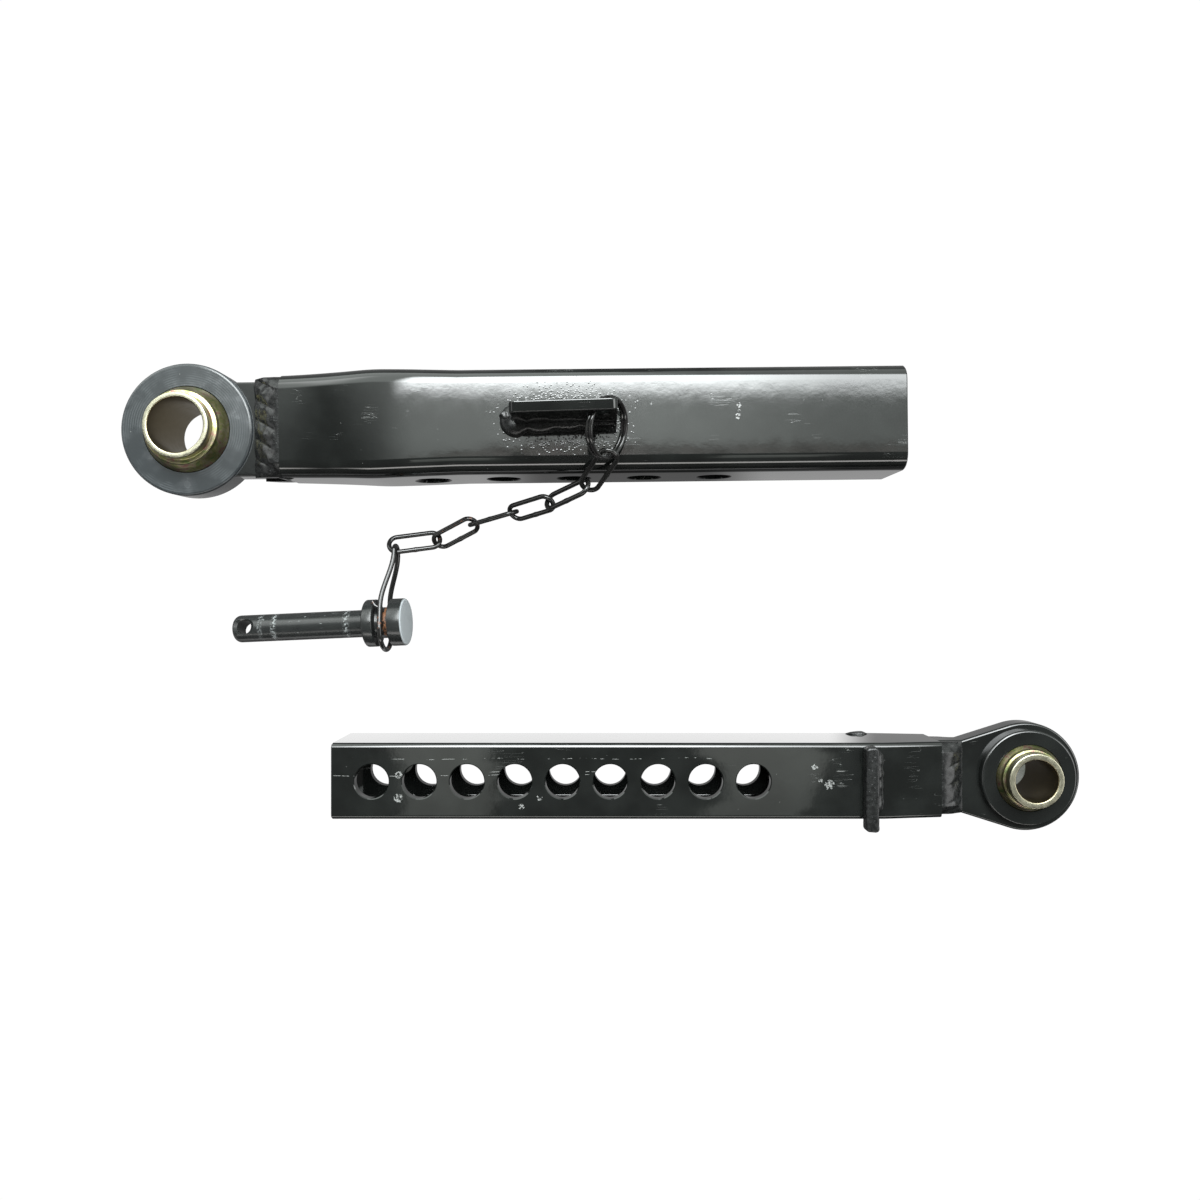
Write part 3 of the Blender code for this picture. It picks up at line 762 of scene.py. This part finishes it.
TUBE_EYE = joint_point("tube_bush_tilt")
BAR_EYE = joint_point("bar_bush_tilt")
TUBE_PLACE = Matrix.Translation(TUBE_EYE) @ Matrix.Rotation(TUBE_YAW, 4, "Z")
BAR_PLACE = shifted(0.0, BAR_Y, BAR_SIZE / 2)
UPRIGHT_TO_Y = Matrix.Rotation(math.pi / 2, 4, "X")
PAINT_SLOT = "gloss_black_paint"


def taper_places():
    """Sections from the even part of the tube to its pressed end, close enough for soft bends."""
    first, last, count = TUBE_TAPER[0][0], TUBE_TAPER[-1][0], 36
    return [first + (last - first) * i / count for i in range(count + 1)]


def taper_soft(x, column, reach):
    """One measure of the pressed end at x, averaged over a reach to soften its bends."""
    samples = 15
    total = 0.0
    for i in range(samples):
        at = x + reach * (2 * i / (samples - 1) - 1)
        at = min(max(at, TUBE_TAPER[-1][0]), TUBE_TAPER[0][0])
        for start, end in zip(TUBE_TAPER, TUBE_TAPER[1:]):
            if end[0] <= at <= start[0]:
                t = (at - end[0]) / (start[0] - end[0])
                total += end[column] + (start[column] - end[column]) * t
                break
    return total / samples


def taper_size(x):
    return taper_soft(x, 1, 5.0), taper_soft(x, 2, 22.0)


def build_tube(paint):
    stations = [(TUBE_MOUTH_X, TUBE_SIZE, TUBE_SIZE, TUBE_CORNER)]
    stations += [(x, *taper_size(x), TUBE_CORNER) for x in taper_places()]
    tube = hollow("tube_shell", stations, TUBE_WALL, TUBE_PLACE)
    for i, x in enumerate(TUBE_HOLE_X):
        spot = TUBE_PLACE @ shifted(x) @ UPRIGHT_TO_Y
        combine(tube, hole_cutter(f"drill_{i}", PIN_HOLE_RADIUS, TUBE_SIZE / 2, spot), "DIFFERENCE")
    smooth(tube, 40.0)
    wear_piece(tube, paint, "outer_tube", PAINT_SLOT, "outer_tube")


def seat_ball(name, radius, place):
    return turned(name, arc((0, 0), radius + SEAT_GAP, -89, 89, 48), place, 96, closed=False)


def build_tube_eye(paint):
    profile = rounded_side(TUBE_EYE_RADIUS, TUBE_EYE_HALF, 1.6, 6)
    eye = turned("tube_eye_ring", profile, TUBE_PLACE, 128, closed=False)
    across, reach = TUBE_NECK_WIDTH / 2, TUBE_WELD_X[1] - 0.2
    outline = [(10.0, -across), (reach, -across), (reach, across), (10.0, across)]
    neck = prism("neck", outline, -TUBE_NECK_HALF, TUBE_NECK_HALF, TUBE_PLACE)
    round_edges(neck, 1.2)
    combine(eye, neck, "UNION")
    combine(eye, seat_ball("seat", TUBE_BALL_RADIUS, TUBE_PLACE), "DIFFERENCE")
    smooth(eye, 38.0)
    wear_piece(eye, paint, "outer_tube", PAINT_SLOT, "tube_eye")


def fillet_weld(name, near, far, low, high, half_width, ripples, lean, depth, place, seed):
    """A multi-run fillet across a neck, from the neck's face up to the section's end."""
    span, rise = far - near, high - low
    rows, columns = 120, 22
    out = Vector((-abs(rise) * math.copysign(1, span), 0, abs(span) * math.copysign(1, rise)))
    out.normalize()
    rings = []
    for i in range(rows + 1):
        t = i / rows
        y = (2 * t - 1) * half_width
        end = min(1.0, 6.0 * min(t, 1 - t) + 0.25) ** 0.5
        ring = []
        for j in range(columns + 1):
            v = j / columns
            x = near + span * v
            z = low + rise * (0.06 + 0.94 * math.sin(v * math.pi / 2) ** 0.85) * end
            phase = (t * ripples + lean * v) % 1.0
            swell = math.sin(math.pi * phase) ** 0.55 - 0.6
            swell += 0.6 * ripple_noise((x, y, z), 4.0, seed)
            push = swell * depth * math.sin(math.pi * min(v + 0.12, 1.0))
            ring.append((x + out.x * push, y, z + out.z * push))
        ring.append((far, y, low))
        rings.append(ring)
    if (rise > 0) == (span > 0):
        rings.reverse()
    return loft(name, rings, place)


def build_neck_welds(paint, part, body, place, span, heights, half, look, seed):
    """The beads over and under an eye's neck. The tube's upper one ends in a lump."""
    for name, sign, number in (("top", 1, seed), ("bottom", -1, seed + 5.0)):
        low, high = (sign * height for height in heights)
        bead = fillet_weld(f"{part}_weld_{name}", *span, low, high, half, *look, place, number)
        if (part, name) == ("tube", "top"):
            join(bead, weld_lump("lump", (53.5, -25.0, 10.0), (4.6, 2.6, 3.6), place, 5.0))
        smooth(bead, 60.0, weighted=False)
        wear_piece(bead, paint, body, PAINT_SLOT, f"{part}_eye_weld_{name}")


def build_tube_welds(paint):
    _, width, height = TUBE_TAPER[-1]
    heights = (TUBE_NECK_HALF + 0.1, height / 2 - 0.9)
    build_neck_welds(paint, "tube", "outer_tube", TUBE_PLACE, TUBE_WELD_X, heights,
                     width / 2 - 0.6, (5.0, 0.9, 1.9), 3.0)


def weld_lump(name, centre, radii, place, seed):
    """A smooth blob of weld metal."""
    mesh = bmesh.new()
    bmesh.ops.create_icosphere(mesh, subdivisions=4, radius=1.0)
    data = bpy.data.meshes.new(name)
    for vertex in mesh.verts:
        grow = 1.0 + 0.28 * ripple_noise(vertex.co, 0.7, seed)
        vertex.co = Vector([c * r for c, r in zip(vertex.co * grow, radii)]) + Vector(centre)
        vertex.co *= MM
    mesh.to_mesh(data)
    mesh.free()
    data.transform(place)
    return new_object(name, data)


def lug_place():
    foot = shifted((LUG_X[0] + LUG_X[1]) / 2, 0.0, TUBE_SIZE / 2)
    return TUBE_PLACE @ foot @ Matrix.Rotation(LUG_YAW, 4, "Z")


def build_lug(paint):
    place = lug_place()
    half, thick = (LUG_X[1] - LUG_X[0]) / 2, LUG_THICKNESS / 2
    corner, low = 3.0, 0.1
    outline = [(-half, low), (half, low)]
    outline += arc((half - corner, LUG_HEIGHT - corner), corner, 0, 90, 10)
    outline += arc((corner - half, LUG_HEIGHT - corner), corner, 90, 180, 10)
    rings = []
    for y, drop in ((thick, 0.0), (-thick, LUG_LEAN)):
        rings.append([(x, y, z - drop if z > LUG_HEIGHT / 2 else z) for x, z in outline])
    lug = loft("lug_plate", rings, place)
    round_edges(lug, 0.7, 4, 50.0)
    inset, drop, radius = LUG_HOLE
    spot = place @ shifted(half - inset, 0.0, LUG_HEIGHT - 0.3 - drop) @ UPRIGHT_TO_Y
    combine(lug, hole_cutter("drill", radius, thick, spot), "DIFFERENCE")
    smooth(lug, 40.0)
    wear_piece(lug, paint, "outer_tube", PAINT_SLOT, "chain_lug")


def build_lug_weld(paint):
    """A lumpy bead that starts at the lug's right end, goes round its left end and comes back."""
    place = lug_place()
    half, thick = (LUG_X[1] - LUG_X[0]) / 2, LUG_THICKNESS / 2
    right = half - 1.6
    path = [(right - 2.0 * i, thick) for i in range(25)]
    path += arc((-half + 1.0, 0.0), thick, 90, 270, 12)
    path += [(x, -y) for x, y in reversed(path[:25])]
    rings = []
    count = len(path)
    for i, (x, y) in enumerate(path):
        before, after = Vector(path[max(i - 1, 0)]), Vector(path[min(i + 1, count - 1)])
        ahead = (after - before).normalized()
        out = Vector((-ahead.y, ahead.x))
        if out.dot(Vector((x - 6.0, y * 4))) < 0:
            out = -out
        ends = min(1.0, 0.35 + 6.0 * min(i, count - 1 - i) / count)
        leftness = max(0.0, (-x - half + 6.0) / 6.0)
        size = (4.3 + 1.9 * leftness + 1.3 * ripple_noise((x, y, 0), 5.0, 2.0)) * ends
        tall = (4.4 + 1.2 * ripple_noise((x, y, 9.0), 4.0, 7.0)) * ends
        ring = [(x, y, 0.1), (x, y, tall)]
        for k in range(1, 9):
            a = math.pi / 2 * k / 8
            reach = size * math.sin(a) + 0.35 * ripple_noise((x, y, k * 2.0), 2.0, 4.0)
            ring.append((x + out.x * reach, y + out.y * reach, max(0.1, tall * math.cos(a) ** 0.8)))
        rings.append(ring)
    bead = loft("lug_weld", rings, place)
    join(bead, weld_lump("lump", (-half - 4.6, 2.0, 1.8), (3.2, 2.8, 2.8), place, 1.0))
    smooth(bead, 70.0, weighted=False)
    wear_piece(bead, paint, "outer_tube", PAINT_SLOT, "chain_lug_weld")


def build_bar(paint):
    left, taper, right = BAR_X
    stations = [
        (left, BAR_SIZE, BAR_SIZE, BAR_CORNER),
        (taper, BAR_SIZE, BAR_SIZE, BAR_CORNER),
        (right, BAR_SIZE, BAR_END_HEIGHT, BAR_CORNER),
    ]
    bar = hollow("bar_shell", stations, BAR_WALL, BAR_PLACE)
    for i in range(BAR_HOLE_COUNT):
        spot = BAR_PLACE @ shifted(BAR_HOLE_FIRST_X + i * BAR_HOLE_PITCH)
        combine(bar, hole_cutter(f"drill_{i}", PIN_HOLE_RADIUS, BAR_SIZE / 2, spot), "DIFFERENCE")
    smooth(bar, 30.0)
    wear_piece(bar, paint, "inner_bar", PAINT_SLOT, "inner_bar")


def build_bar_eye(paint):
    radius, across = BAR_EYE_RADIUS, BAR_NECK_WIDTH / 2
    centre_x = BAR_EYE.x / MM
    back = centre_x - BAR_WELD_X[0]
    reach = math.hypot(back, across)
    start = 180 - math.degrees(math.acos(radius / reach) + math.atan2(across, back))
    outline = [(-back, -across)] + arc((0, 0), radius, -start, start, 72)
    foot = BAR_WELD_X[1] + 0.2 - centre_x
    outline += [(-back, across), (foot, across), (foot, -across)]
    outline = [(centre_x + x, y) for x, y in outline]
    eye = prism("bar_eye_ring", outline, -BAR_EYE_HALF, BAR_EYE_HALF, BAR_PLACE)
    round_edges(eye, 1.3, 4, 50.0)
    profile = rounded_side(BAR_BOSS_RADIUS, BAR_BOSS_HALF, 1.2, 5)
    spot = BAR_PLACE @ shifted(centre_x)
    combine(eye, turned("boss", profile, spot, 128, closed=False), "UNION")
    combine(eye, seat_ball("seat", BAR_BALL_RADIUS, spot), "DIFFERENCE")
    smooth(eye, 38.0)
    wear_piece(eye, paint, "inner_bar", PAINT_SLOT, "bar_eye")


def build_bar_welds(paint):
    heights = (BAR_EYE_HALF + 0.1, BAR_END_HEIGHT / 2 - 0.9)
    build_neck_welds(paint, "bar", "inner_bar", BAR_PLACE, BAR_WELD_X, heights,
                     BAR_NECK_WIDTH / 2 - 0.4, (4.0, 0.5, 0.7), 12.0)


def build_stop_strip(paint):
    x0, x1 = STOP_X
    y0, y1 = STOP_Y[0] - BAR_Y, STOP_Y[1] - BAR_Y
    width, length = x1 - x0, y1 - y0
    outline = rounded_rectangle(width, length, 2.2, 6)
    outline = [((x0 + x1) / 2 + x, (y0 + y1) / 2 + y) for x, y in outline]
    top = BAR_SIZE / 2
    strip = prism("stop_bar", outline, top + 0.1, top + STOP_HEIGHT, BAR_PLACE)
    round_edges(strip, 1.3, 4, 50.0)
    subdivide(strip, 1.6)
    roughen(strip, 0.35, 4.0, 6.0)
    smooth(strip, 60.0, weighted=False)
    wear_piece(strip, paint, "inner_bar", PAINT_SLOT, "stop_strip")


def build_stop_bead(paint):
    """The weld along the strip's side that faces the eye."""
    foot, top, edge = STOP_X[1] + 0.1, BAR_SIZE / 2, BAR_SIZE / 2 - 3.0
    rings = []
    for i in range(61):
        y = edge - 2 * edge * i / 60
        ends = min(1.0, 0.3 + 8.0 * min(i, 60 - i) / 60)
        wide = (3.6 + 1.0 * ripple_noise((0, y, 0), 3.0, 11.0)) * ends
        tall = (3.9 + 0.9 * ripple_noise((0, y, 5), 3.0, 15.0)) * ends
        slope = ((wide * 0.45, tall * 0.86), (wide * 0.8, tall * 0.5), (wide, 0.1))
        ring = [(foot, y, top + 0.1), (foot, y, top + tall)]
        rings.append(ring + [(foot + px, y, top + 0.1 + pz) for px, pz in slope])
    bead = loft("stop_bead", rings[::-1], BAR_PLACE)
    smooth(bead, 75.0, weighted=False)
    wear_piece(bead, paint, "inner_bar", PAINT_SLOT, "stop_weld")


def build_side_run(paint):
    middle = (SIDE_RUN_X, BAR_SIZE / 2 + 0.2, -13.6)
    run = weld_lump("stop_side_run", middle, (5.6, 1.3, 2.6), BAR_PLACE, 21.0)
    smooth(run, 75.0, weighted=False)
    wear_piece(run, paint, "inner_bar", PAINT_SLOT, "stop_side_weld")


def build_bush(name, sizes, centre, material, body, node):
    """A swivel ball with a stepped collar at each end, rounded edges and a chamfered bore."""
    ball, half, bore, end, step, step_z = sizes
    reach = math.degrees(math.acos(step / ball))
    upper = arc((step - 0.5, step_z - 0.5), 0.5, 0, 90, 4)
    upper += [(end + 0.5, step_z + 0.05), (end + 0.1, step_z + 0.4)]
    upper += arc((end - 0.6, half - 0.6), 0.6, 0, 90, 5)
    upper += arc((bore + 0.6, half - 0.6), 0.6, 90, 180, 5)
    lower = [(r, -z) for r, z in reversed(upper)]
    sphere = arc((0, 0), ball, -reach, reach, 40)
    place = Matrix.Translation(centre)
    bush = turned(name, sphere + upper + lower, place, 128)
    smooth(bush, 40.0, weighted=False)
    wear_piece(bush, material, body, "yellow_zinc", node)


def heading_vector(heading, drop):
    flat = math.cos(drop)
    return Vector((flat * math.cos(heading), flat * math.sin(heading), -math.sin(drop)))


def ring_axes():
    across = Vector((-math.sin(RING_TURN), math.cos(RING_TURN), 0.0))
    level = Vector((-math.cos(RING_TURN), -math.sin(RING_TURN), 0.0))
    raised = level * math.cos(RING_TILT) + Vector((0, 0, 1)) * math.sin(RING_TILT)
    return across, raised


def build_ring(material):
    """Two turns of wire that step from one side to the other, with blunt ends."""
    across, raised = ring_axes()
    place = axes_matrix(joint_point("ring_turn"), across, raised)
    points = []
    turns, steps = 1.98, 150
    for i in range(steps + 1):
        t = i / steps
        a = 2 * math.pi * turns * t + 0.6
        shift = RING_WIRE * 0.5 * math.tanh((t - 0.5) * 9.0)
        points.append((RING_RADIUS * math.cos(a), RING_RADIUS * math.sin(a), shift))
    ring = wire("split_ring_coil", points, RING_WIRE - 0.1, place, closed=False)
    ring.data.set_sharp_from_angle(angle=math.radians(60))
    wear_piece(ring, material, "ring", "black_chain", "split_ring")


def link_outline():
    bend = CHAIN_BEND
    near = bend - CHAIN_PLAY
    far = CHAIN_INNER + CHAIN_WIRE - bend - CHAIN_PLAY
    points = arc((far, 0.0), bend, -90, 90, 24)
    points += [(far - (far - near) * i / 12, bend) for i in range(1, 12)]
    points += arc((near, 0.0), bend, 90, 270, 24)
    points += [(near + (far - near) * i / 12, -bend) for i in range(1, 12)]
    return [(x, y, 0.0) for x, y in points]


def build_chain(clean, rusty):
    outline = link_outline()
    for i, (heading, drop, roll) in enumerate(CHAIN_LINKS):
        along = heading_vector(math.radians(heading), math.radians(drop))
        level = Vector((0, 0, 1)).cross(along).normalized()
        side = Matrix.Rotation(math.radians(roll), 3, along) @ level
        hook = joint_point(f"link_{i + 1}_swing")
        if i == 0:
            hook = hook - along * (RING_PLAY - CHAIN_PLAY) * MM
        place = axes_matrix(hook, along, side)
        link = wire(f"link_{i + 1}_wire", outline, CHAIN_WIRE - CHAIN_CLEARANCE, place)
        swell_weld(link, place)
        material = rusty if i > 3 else clean
        wear_piece(link, material, f"link_{i + 1}", "black_chain", f"chain_link_{i + 1}")


def swell_weld(link, place):
    """The butt weld half way along one strand is a little thicker than the wire."""
    middle = (CHAIN_INNER + CHAIN_WIRE) / 2 - CHAIN_PLAY
    back = place.inverted()
    for vertex in link.data.vertices:
        local = back @ vertex.co / MM
        if local.y > 0:
            grow = 1.0 + 0.13 * math.exp(-((local.x - middle) / 1.1) ** 2)
            core = Vector((local.x, CHAIN_BEND, 0.0))
            vertex.co = place @ ((core + (local - core) * grow) * MM)


def straight_run(first, last, count):
    return [tuple(a + (b - a) * i / count for a, b in zip(first, last)) for i in range(1, count)]


def build_wire_loop(material):
    """The teardrop of wire from the last link round the pin's groove, with a stub end."""
    start = joint_point("wire_loop_swing") / MM
    centre = joint_point("pin_turn") / MM
    axis = Vector(JOINTS["pin_turn"]["axis"])
    offset = centre - start
    sideways = offset.dot(axis)
    flat = (offset - axis * sideways).normalized()
    up = flat.cross(axis)
    if up.z < 0:
        up = -up
    small, big = CHAIN_PLAY, LOOP_PIN_RADIUS
    slope = math.degrees(math.asin((big - small) / LOOP_LENGTH))
    wide = arc((LOOP_LENGTH, 0.0), big, -90 - slope, 90 + slope, 40)
    tight = arc((0.0, 0.0), small, 90 + slope, 270 - slope, 20)
    outline = tight + straight_run(tight[-1], wide[0], 16) + wide
    outline += straight_run(wide[-1], tight[0], 16)
    reach = 0.7 * LOOP_LENGTH
    points = []
    for u, v in outline:
        left = max(0.0, 1.0 - max(u, 0.0) / reach)
        shift = sideways * (1.0 - left ** 2 * (3 - 2 * left))
        points.append(start + flat * u + up * v + axis * shift)
    loop = wire("wire_loop_bent", points, LOOP_WIRE, Matrix.Identity(4))
    foot = start + flat * 31.0 + up * 8.6 + axis * (sideways + 1.0)
    stub = [foot, foot + axis * 1.8 - flat * 1.2 + up * 0.3, foot + axis * 3.2 - flat * 3.4]
    join(loop, wire("stub", stub, LOOP_STUB_WIRE, Matrix.Identity(4), closed=False))
    loop.data.set_sharp_from_angle(angle=math.radians(60))
    wear_piece(loop, material, "wire_loop", "black_chain", "pin_wire_loop")


def build_pin(head, axis):
    level = Vector((0, 0, 1)).cross(axis).normalized()
    side = Matrix.Rotation(PIN_ROLL, 3, axis) @ level
    place = axes_matrix(head, side, axis.cross(side))
    edge, shaft = 1.3, PIN_SHAFT_RADIUS
    radius = PIN_HEAD_RADIUS
    profile = arc((radius - edge, edge), edge, -90, 0, 6)
    profile += arc((radius - 0.5, PIN_HEAD_LENGTH - 0.5), 0.5, 0, 90, 4)
    profile += arc((PIN_GROOVE_RADIUS + 0.8, PIN_HEAD_LENGTH + 0.8), 0.8, 270, 180, 5)
    profile += arc((PIN_GROOVE_RADIUS + 0.8, PIN_GROOVE_END - 0.8), 0.8, 180, 90, 5)
    profile += arc((radius - 0.5, PIN_GROOVE_END + 0.5), 0.5, -90, 0, 4)
    profile += arc((radius - 1.0, PIN_COLLAR_END - 1.0), 1.0, 0, 90, 5)
    profile += arc((shaft + 0.5, PIN_COLLAR_END + 0.5), 0.5, 270, 180, 4)
    end = PIN_TIP_CHAMFER
    profile += arc((shaft - end, PIN_LENGTH - end), end, 0, 84, 12)
    pin = turned("pin_body", profile, place, 96, closed=False)
    along, hole, mouth = PIN_TIP_HOLE
    depth = shaft - 0.2
    tool = [(mouth + 2.0, -depth - 1.6), (mouth, -depth + 0.4), (hole, 1.8 - depth),
            (hole, depth - 1.8), (mouth, depth - 0.4), (mouth + 2.0, depth + 1.6)]
    spot = place @ shifted(0.0, 0.0, along) @ UPRIGHT_TO_Y
    combine(pin, turned("drill", tool, spot, 64, closed=False), "DIFFERENCE")
    smooth(pin, 40.0, weighted=False)
    wear_piece(pin, pin_steel("pin_steel", head, axis), "pin", "gunmetal_pin", "locking_pin")


# ---------------------------------------------------------------- studio


def seen_by_camera(seen, unseen, output):
    """Show one shader to the camera and another to every other ray."""
    nodes = seen.id_data.nodes
    ray = nodes.new("ShaderNodeLightPath").outputs["Is Camera Ray"]
    choose = new_node("ShaderNodeMixShader", ray, unseen, seen)
    feed(nodes[output].inputs["Surface"], choose.outputs[0])


def build_floor():
    """White to the camera, apart from a painted shade deep under the bar's ball. Bands of painted light
    and shade to the gloss.
    """
    side = FLOOR_SIDE / MM
    corners = [(-side, -side, 0), (side, -side, 0), (side, side, 0), (-side, side, 0)]
    floor = mesh_piece("floor", corners, [(0, 1, 2, 3)])
    made, shader, place = new_material("floor_white", 0.9, 0.0)
    shader.inputs["Base Color"].default_value = (0.0, 0.0, 0.0, 1.0)
    shader.inputs["Emission Strength"].default_value = FLOOR_WHITE
    x, y, _ = split_axes(place)
    nodes = made.node_tree.nodes
    open_sky = nodes.new("ShaderNodeAmbientOcclusion")
    open_sky.samples = 16
    open_sky.inputs["Distance"].default_value = 0.3
    lit = fade(open_sky.outputs["AO"], 0.08, 0.22)
    lit = highest(lit, calc("LESS_THAN", x, FLOOR_SHADE_X))
    feed(shader.inputs["Emission Color"], blend_colour(lit, (0.10, 0.11, 0.09), (1.0, 1.0, 1.0)))
    strength = None
    # painted light and shade: glow bands by Y, dim where the tube and bar would shade the floor
    for low, high, soft, level in FLOOR_GLOW:
        part = product(band(y, low, high, soft), level)
        strength = part if strength is None else calc("ADD", strength, part)
    front = calc("LESS_THAN", y, 0.0)
    end = fade(x, FLOOR_GLOW_END_X, FLOOR_GLOW_END_X + 0.03, 0.0, 0.75)
    end = product(end, front)
    # painted shade on the rear glow bands between these X
    glow_shade = product(band(x, *FLOOR_GLOW_SHADE_X, 0.02), 0.7, minus(1.0, front))
    fall = minus(1.0, highest(end, glow_shade))
    glow = nodes.new("ShaderNodeEmission")
    feed(glow.inputs["Strength"], product(strength, fall))
    seen_by_camera(shader.outputs[0], glow.outputs[0], "Material Output")
    floor.data.materials.append(made)
    floor.location.z = -FLOOR_GAP


def patch(colour, strength, mask, total):
    """Add a patch of light of one colour and strength to the world's running total."""
    scaled = vector_calc("SCALE", [c * strength for c in colour], None, None, mask)
    return scaled if total is None else vector_calc("ADD", total, scaled)


def ceiling_masks(u, v, fine, drift):
    """The ceiling by its slopes u and v: a rear half, a darker zone overhead, two front patches."""
    # the rear half's left edge runs askew, and its front edge is ragged and slants on the left
    skew = calc("MULTIPLY_ADD", minus(v, 0.21), 1.8, u)
    ragged = calc("MULTIPLY_ADD", minus(fine, 0.5), 0.026, v)
    slant = highest(minus(-0.09, u), 0.0)
    ragged = calc("MULTIPLY_ADD", slant, 0.12, ragged)
    rear = product(fade(skew, -0.72, -0.04), fade(ragged, 0.1570, 0.1585),
                   fade(v, 0.17, 0.214, 1.0, 0.9), fade(u, 0.04, 0.30, 1.0, 0.5))
    reach = band(u, -0.36, 0.6, 0.06)
    seam = product(band(v, 0.1400, 0.1425, 0.0008), band(u, -0.14, 0.15, 0.02),
                   fade(fine, 0.47, 0.56))
    torn = calc("MULTIPLY_ADD", drift, 0.07, u)
    front = highest(band(torn, -0.222, -0.118, 0.006), band(torn, 0.125, 0.245, 0.006))
    front = product(front, band(v, -0.40, -0.10, 0.02), fade(v, -0.24, -0.16, 0.6, 1.0))
    return {
        "rear ceiling": rear,
        "overhead dark": product(band(ragged, 0.1520, 0.1575, 0.0008), reach),
        "overhead pale": product(band(ragged, 0.1450, 0.1520, 0.0008), reach),
        "seam": seam,
        "front ceiling": front,
    }


def box_masks(x, y, z, u, v, fine):
    """The lamp and soft boxes that stand round the object, by direction and slopes."""
    up = fade(z, LOWEST, 0.10)
    spread = calc("DIVIDE", calc("ABSOLUTE", x), highest(y, LOWEST))
    low = calc("MULTIPLY_ADD", highest(x, 0.0), -0.5, z)
    side = product(fade(spread, 1.5, 2.4, 1.0, 0.0), fade(low, 0.46, 0.58),
                   fade(u, -0.38, -0.24), fade(x, 0.08, 0.26, 1.0, 0.55))
    edge = calc("MULTIPLY_ADD", minus(fine, 0.5), 0.010, v)
    early = highest(minus(-0.16, u), 0.0)
    edge = calc("MULTIPLY_ADD", early, -0.12, edge)
    ahead = highest(product(y, -1.0), LOWEST)
    near = calc("DIVIDE", calc("ABSOLUTE", x), ahead)
    wide = fade(calc("ABSOLUTE", y), 0.25, 0.45, 1.0, 0.0)
    return {
        "everywhere": up,
        "rear box halo": product(fade(edge, 0.2150, 0.2165), side),
        "rear box": product(fade(v, 0.218, 0.232), side),
        "rear left box": product(band(u, -2.4, -0.8, 0.2), band(v, 0.45, 1.8, 0.2), up),
        "front lamp": product(band(v, -1.7, -1.2, 0.08), fade(near, 0.5, 0.8, 1.0, 0.0), up),
        "right box": product(band(u, 0.9, 3.2, 0.2), wide, up),
        "left box": product(band(u, -3.2, -1.4, 0.2), wide, up),
    }


def build_world():
    """The room that the gloss mirrors, made up to suit one view. The camera sees plain white."""
    world = bpy.data.worlds.new("studio")
    bpy.context.scene.world = world
    world.use_nodes = True
    nodes = world.node_tree.nodes
    x, y, z = split_axes(nodes.new("ShaderNodeTexCoord").outputs["Generated"])
    height = highest(z, LOWEST)
    u = calc("DIVIDE", x, height)
    v = calc("DIVIDE", y, height)
    flat = new_node("ShaderNodeCombineXYZ", u, v).outputs[0]
    drift = minus(noise_texture(flat, 16.0), 0.5)
    fine = noise_texture(flat, 60.0, 4.0)
    masks = ceiling_masks(u, v, fine, drift) | box_masks(x, y, z, u, v, fine)
    total = None
    for part, (colour, strength) in ROOM.items():
        total = patch(colour, strength, masks[part], total)
    glow = nodes["Background"]
    feed(glow.inputs["Color"], total)
    plain = nodes.new("ShaderNodeBackground")
    plain.inputs["Color"].default_value = (1.0, 1.0, 1.0, 1.0)
    seen_by_camera(plain.outputs[0], glow.outputs[0], "World Output")


def build_camera():
    data = bpy.data.cameras.new("camera")
    data.lens = CAMERA_LENS
    data.sensor_width = 36.0
    data.shift_x, data.shift_y = CAMERA_SHIFT
    data.clip_start = 0.01
    data.clip_end = 20.0
    camera = new_object("camera", data)
    camera.location = Vector(CAMERA_AT) * MM
    bpy.context.scene.camera = camera
    bpy.context.scene.view_settings.view_transform = "Standard"


def main():
    tube_paint = gloss_paint("tube_gloss_black", TUBE_MARKS, 0.03, 1.0, lug_spatter)
    bar_paint = gloss_paint("bar_gloss_black", BAR_MARKS, 0.03, 1.0, lines=BAR_LINES)
    weld_paint = weld_paint_finish("weld_gloss_black")
    eye_satin = eye_paint("tube_eye_satin", TUBE_EYE, TUBE_EYE_RADIUS * MM)
    eye_gloss = gloss_paint("bar_eye_gloss", (), 0.02, 1.2, None, 0.1)
    clean = chain_paint("chain_black")
    rusty = chain_paint("chain_black_rusty", 0.06)
    build_tube(tube_paint)
    build_tube_eye(eye_satin)
    build_tube_welds(weld_paint)
    build_lug(gloss_paint("lug_gloss_black", (), -0.02, 1.2))
    build_lug_weld(weld_paint)
    build_bar(bar_paint)
    build_bar_eye(eye_gloss)
    build_bar_welds(weld_paint)
    build_stop_strip(weld_paint)
    build_stop_bead(weld_paint)
    build_side_run(weld_paint)
    tube_zinc = zinc_plate("tube_ball_zinc", TUBE_EYE, 0.022, 0.01435, 0.0)
    # the bar's ball has its blooms blended 0.4 of the way to black
    bar_zinc = zinc_plate("bar_ball_zinc", BAR_EYE, 0.020, 0.0112, 0.4)
    build_bush("tube_ball", TUBE_BALL, TUBE_EYE, tube_zinc, "tube_bush", "tube_ball_bush")
    build_bush("bar_ball", BAR_BALL, BAR_EYE, bar_zinc, "bar_bush", "bar_ball_bush")
    build_ring(clean)
    build_chain(clean, rusty)
    build_wire_loop(rusty)
    axis = Vector(JOINTS["pin_turn"]["axis"]).normalized()
    build_pin(joint_point("pin_turn") - axis * PIN_HEAD_TO_GROOVE * MM, axis)
    build_floor()
    build_world()
    build_camera()


main()
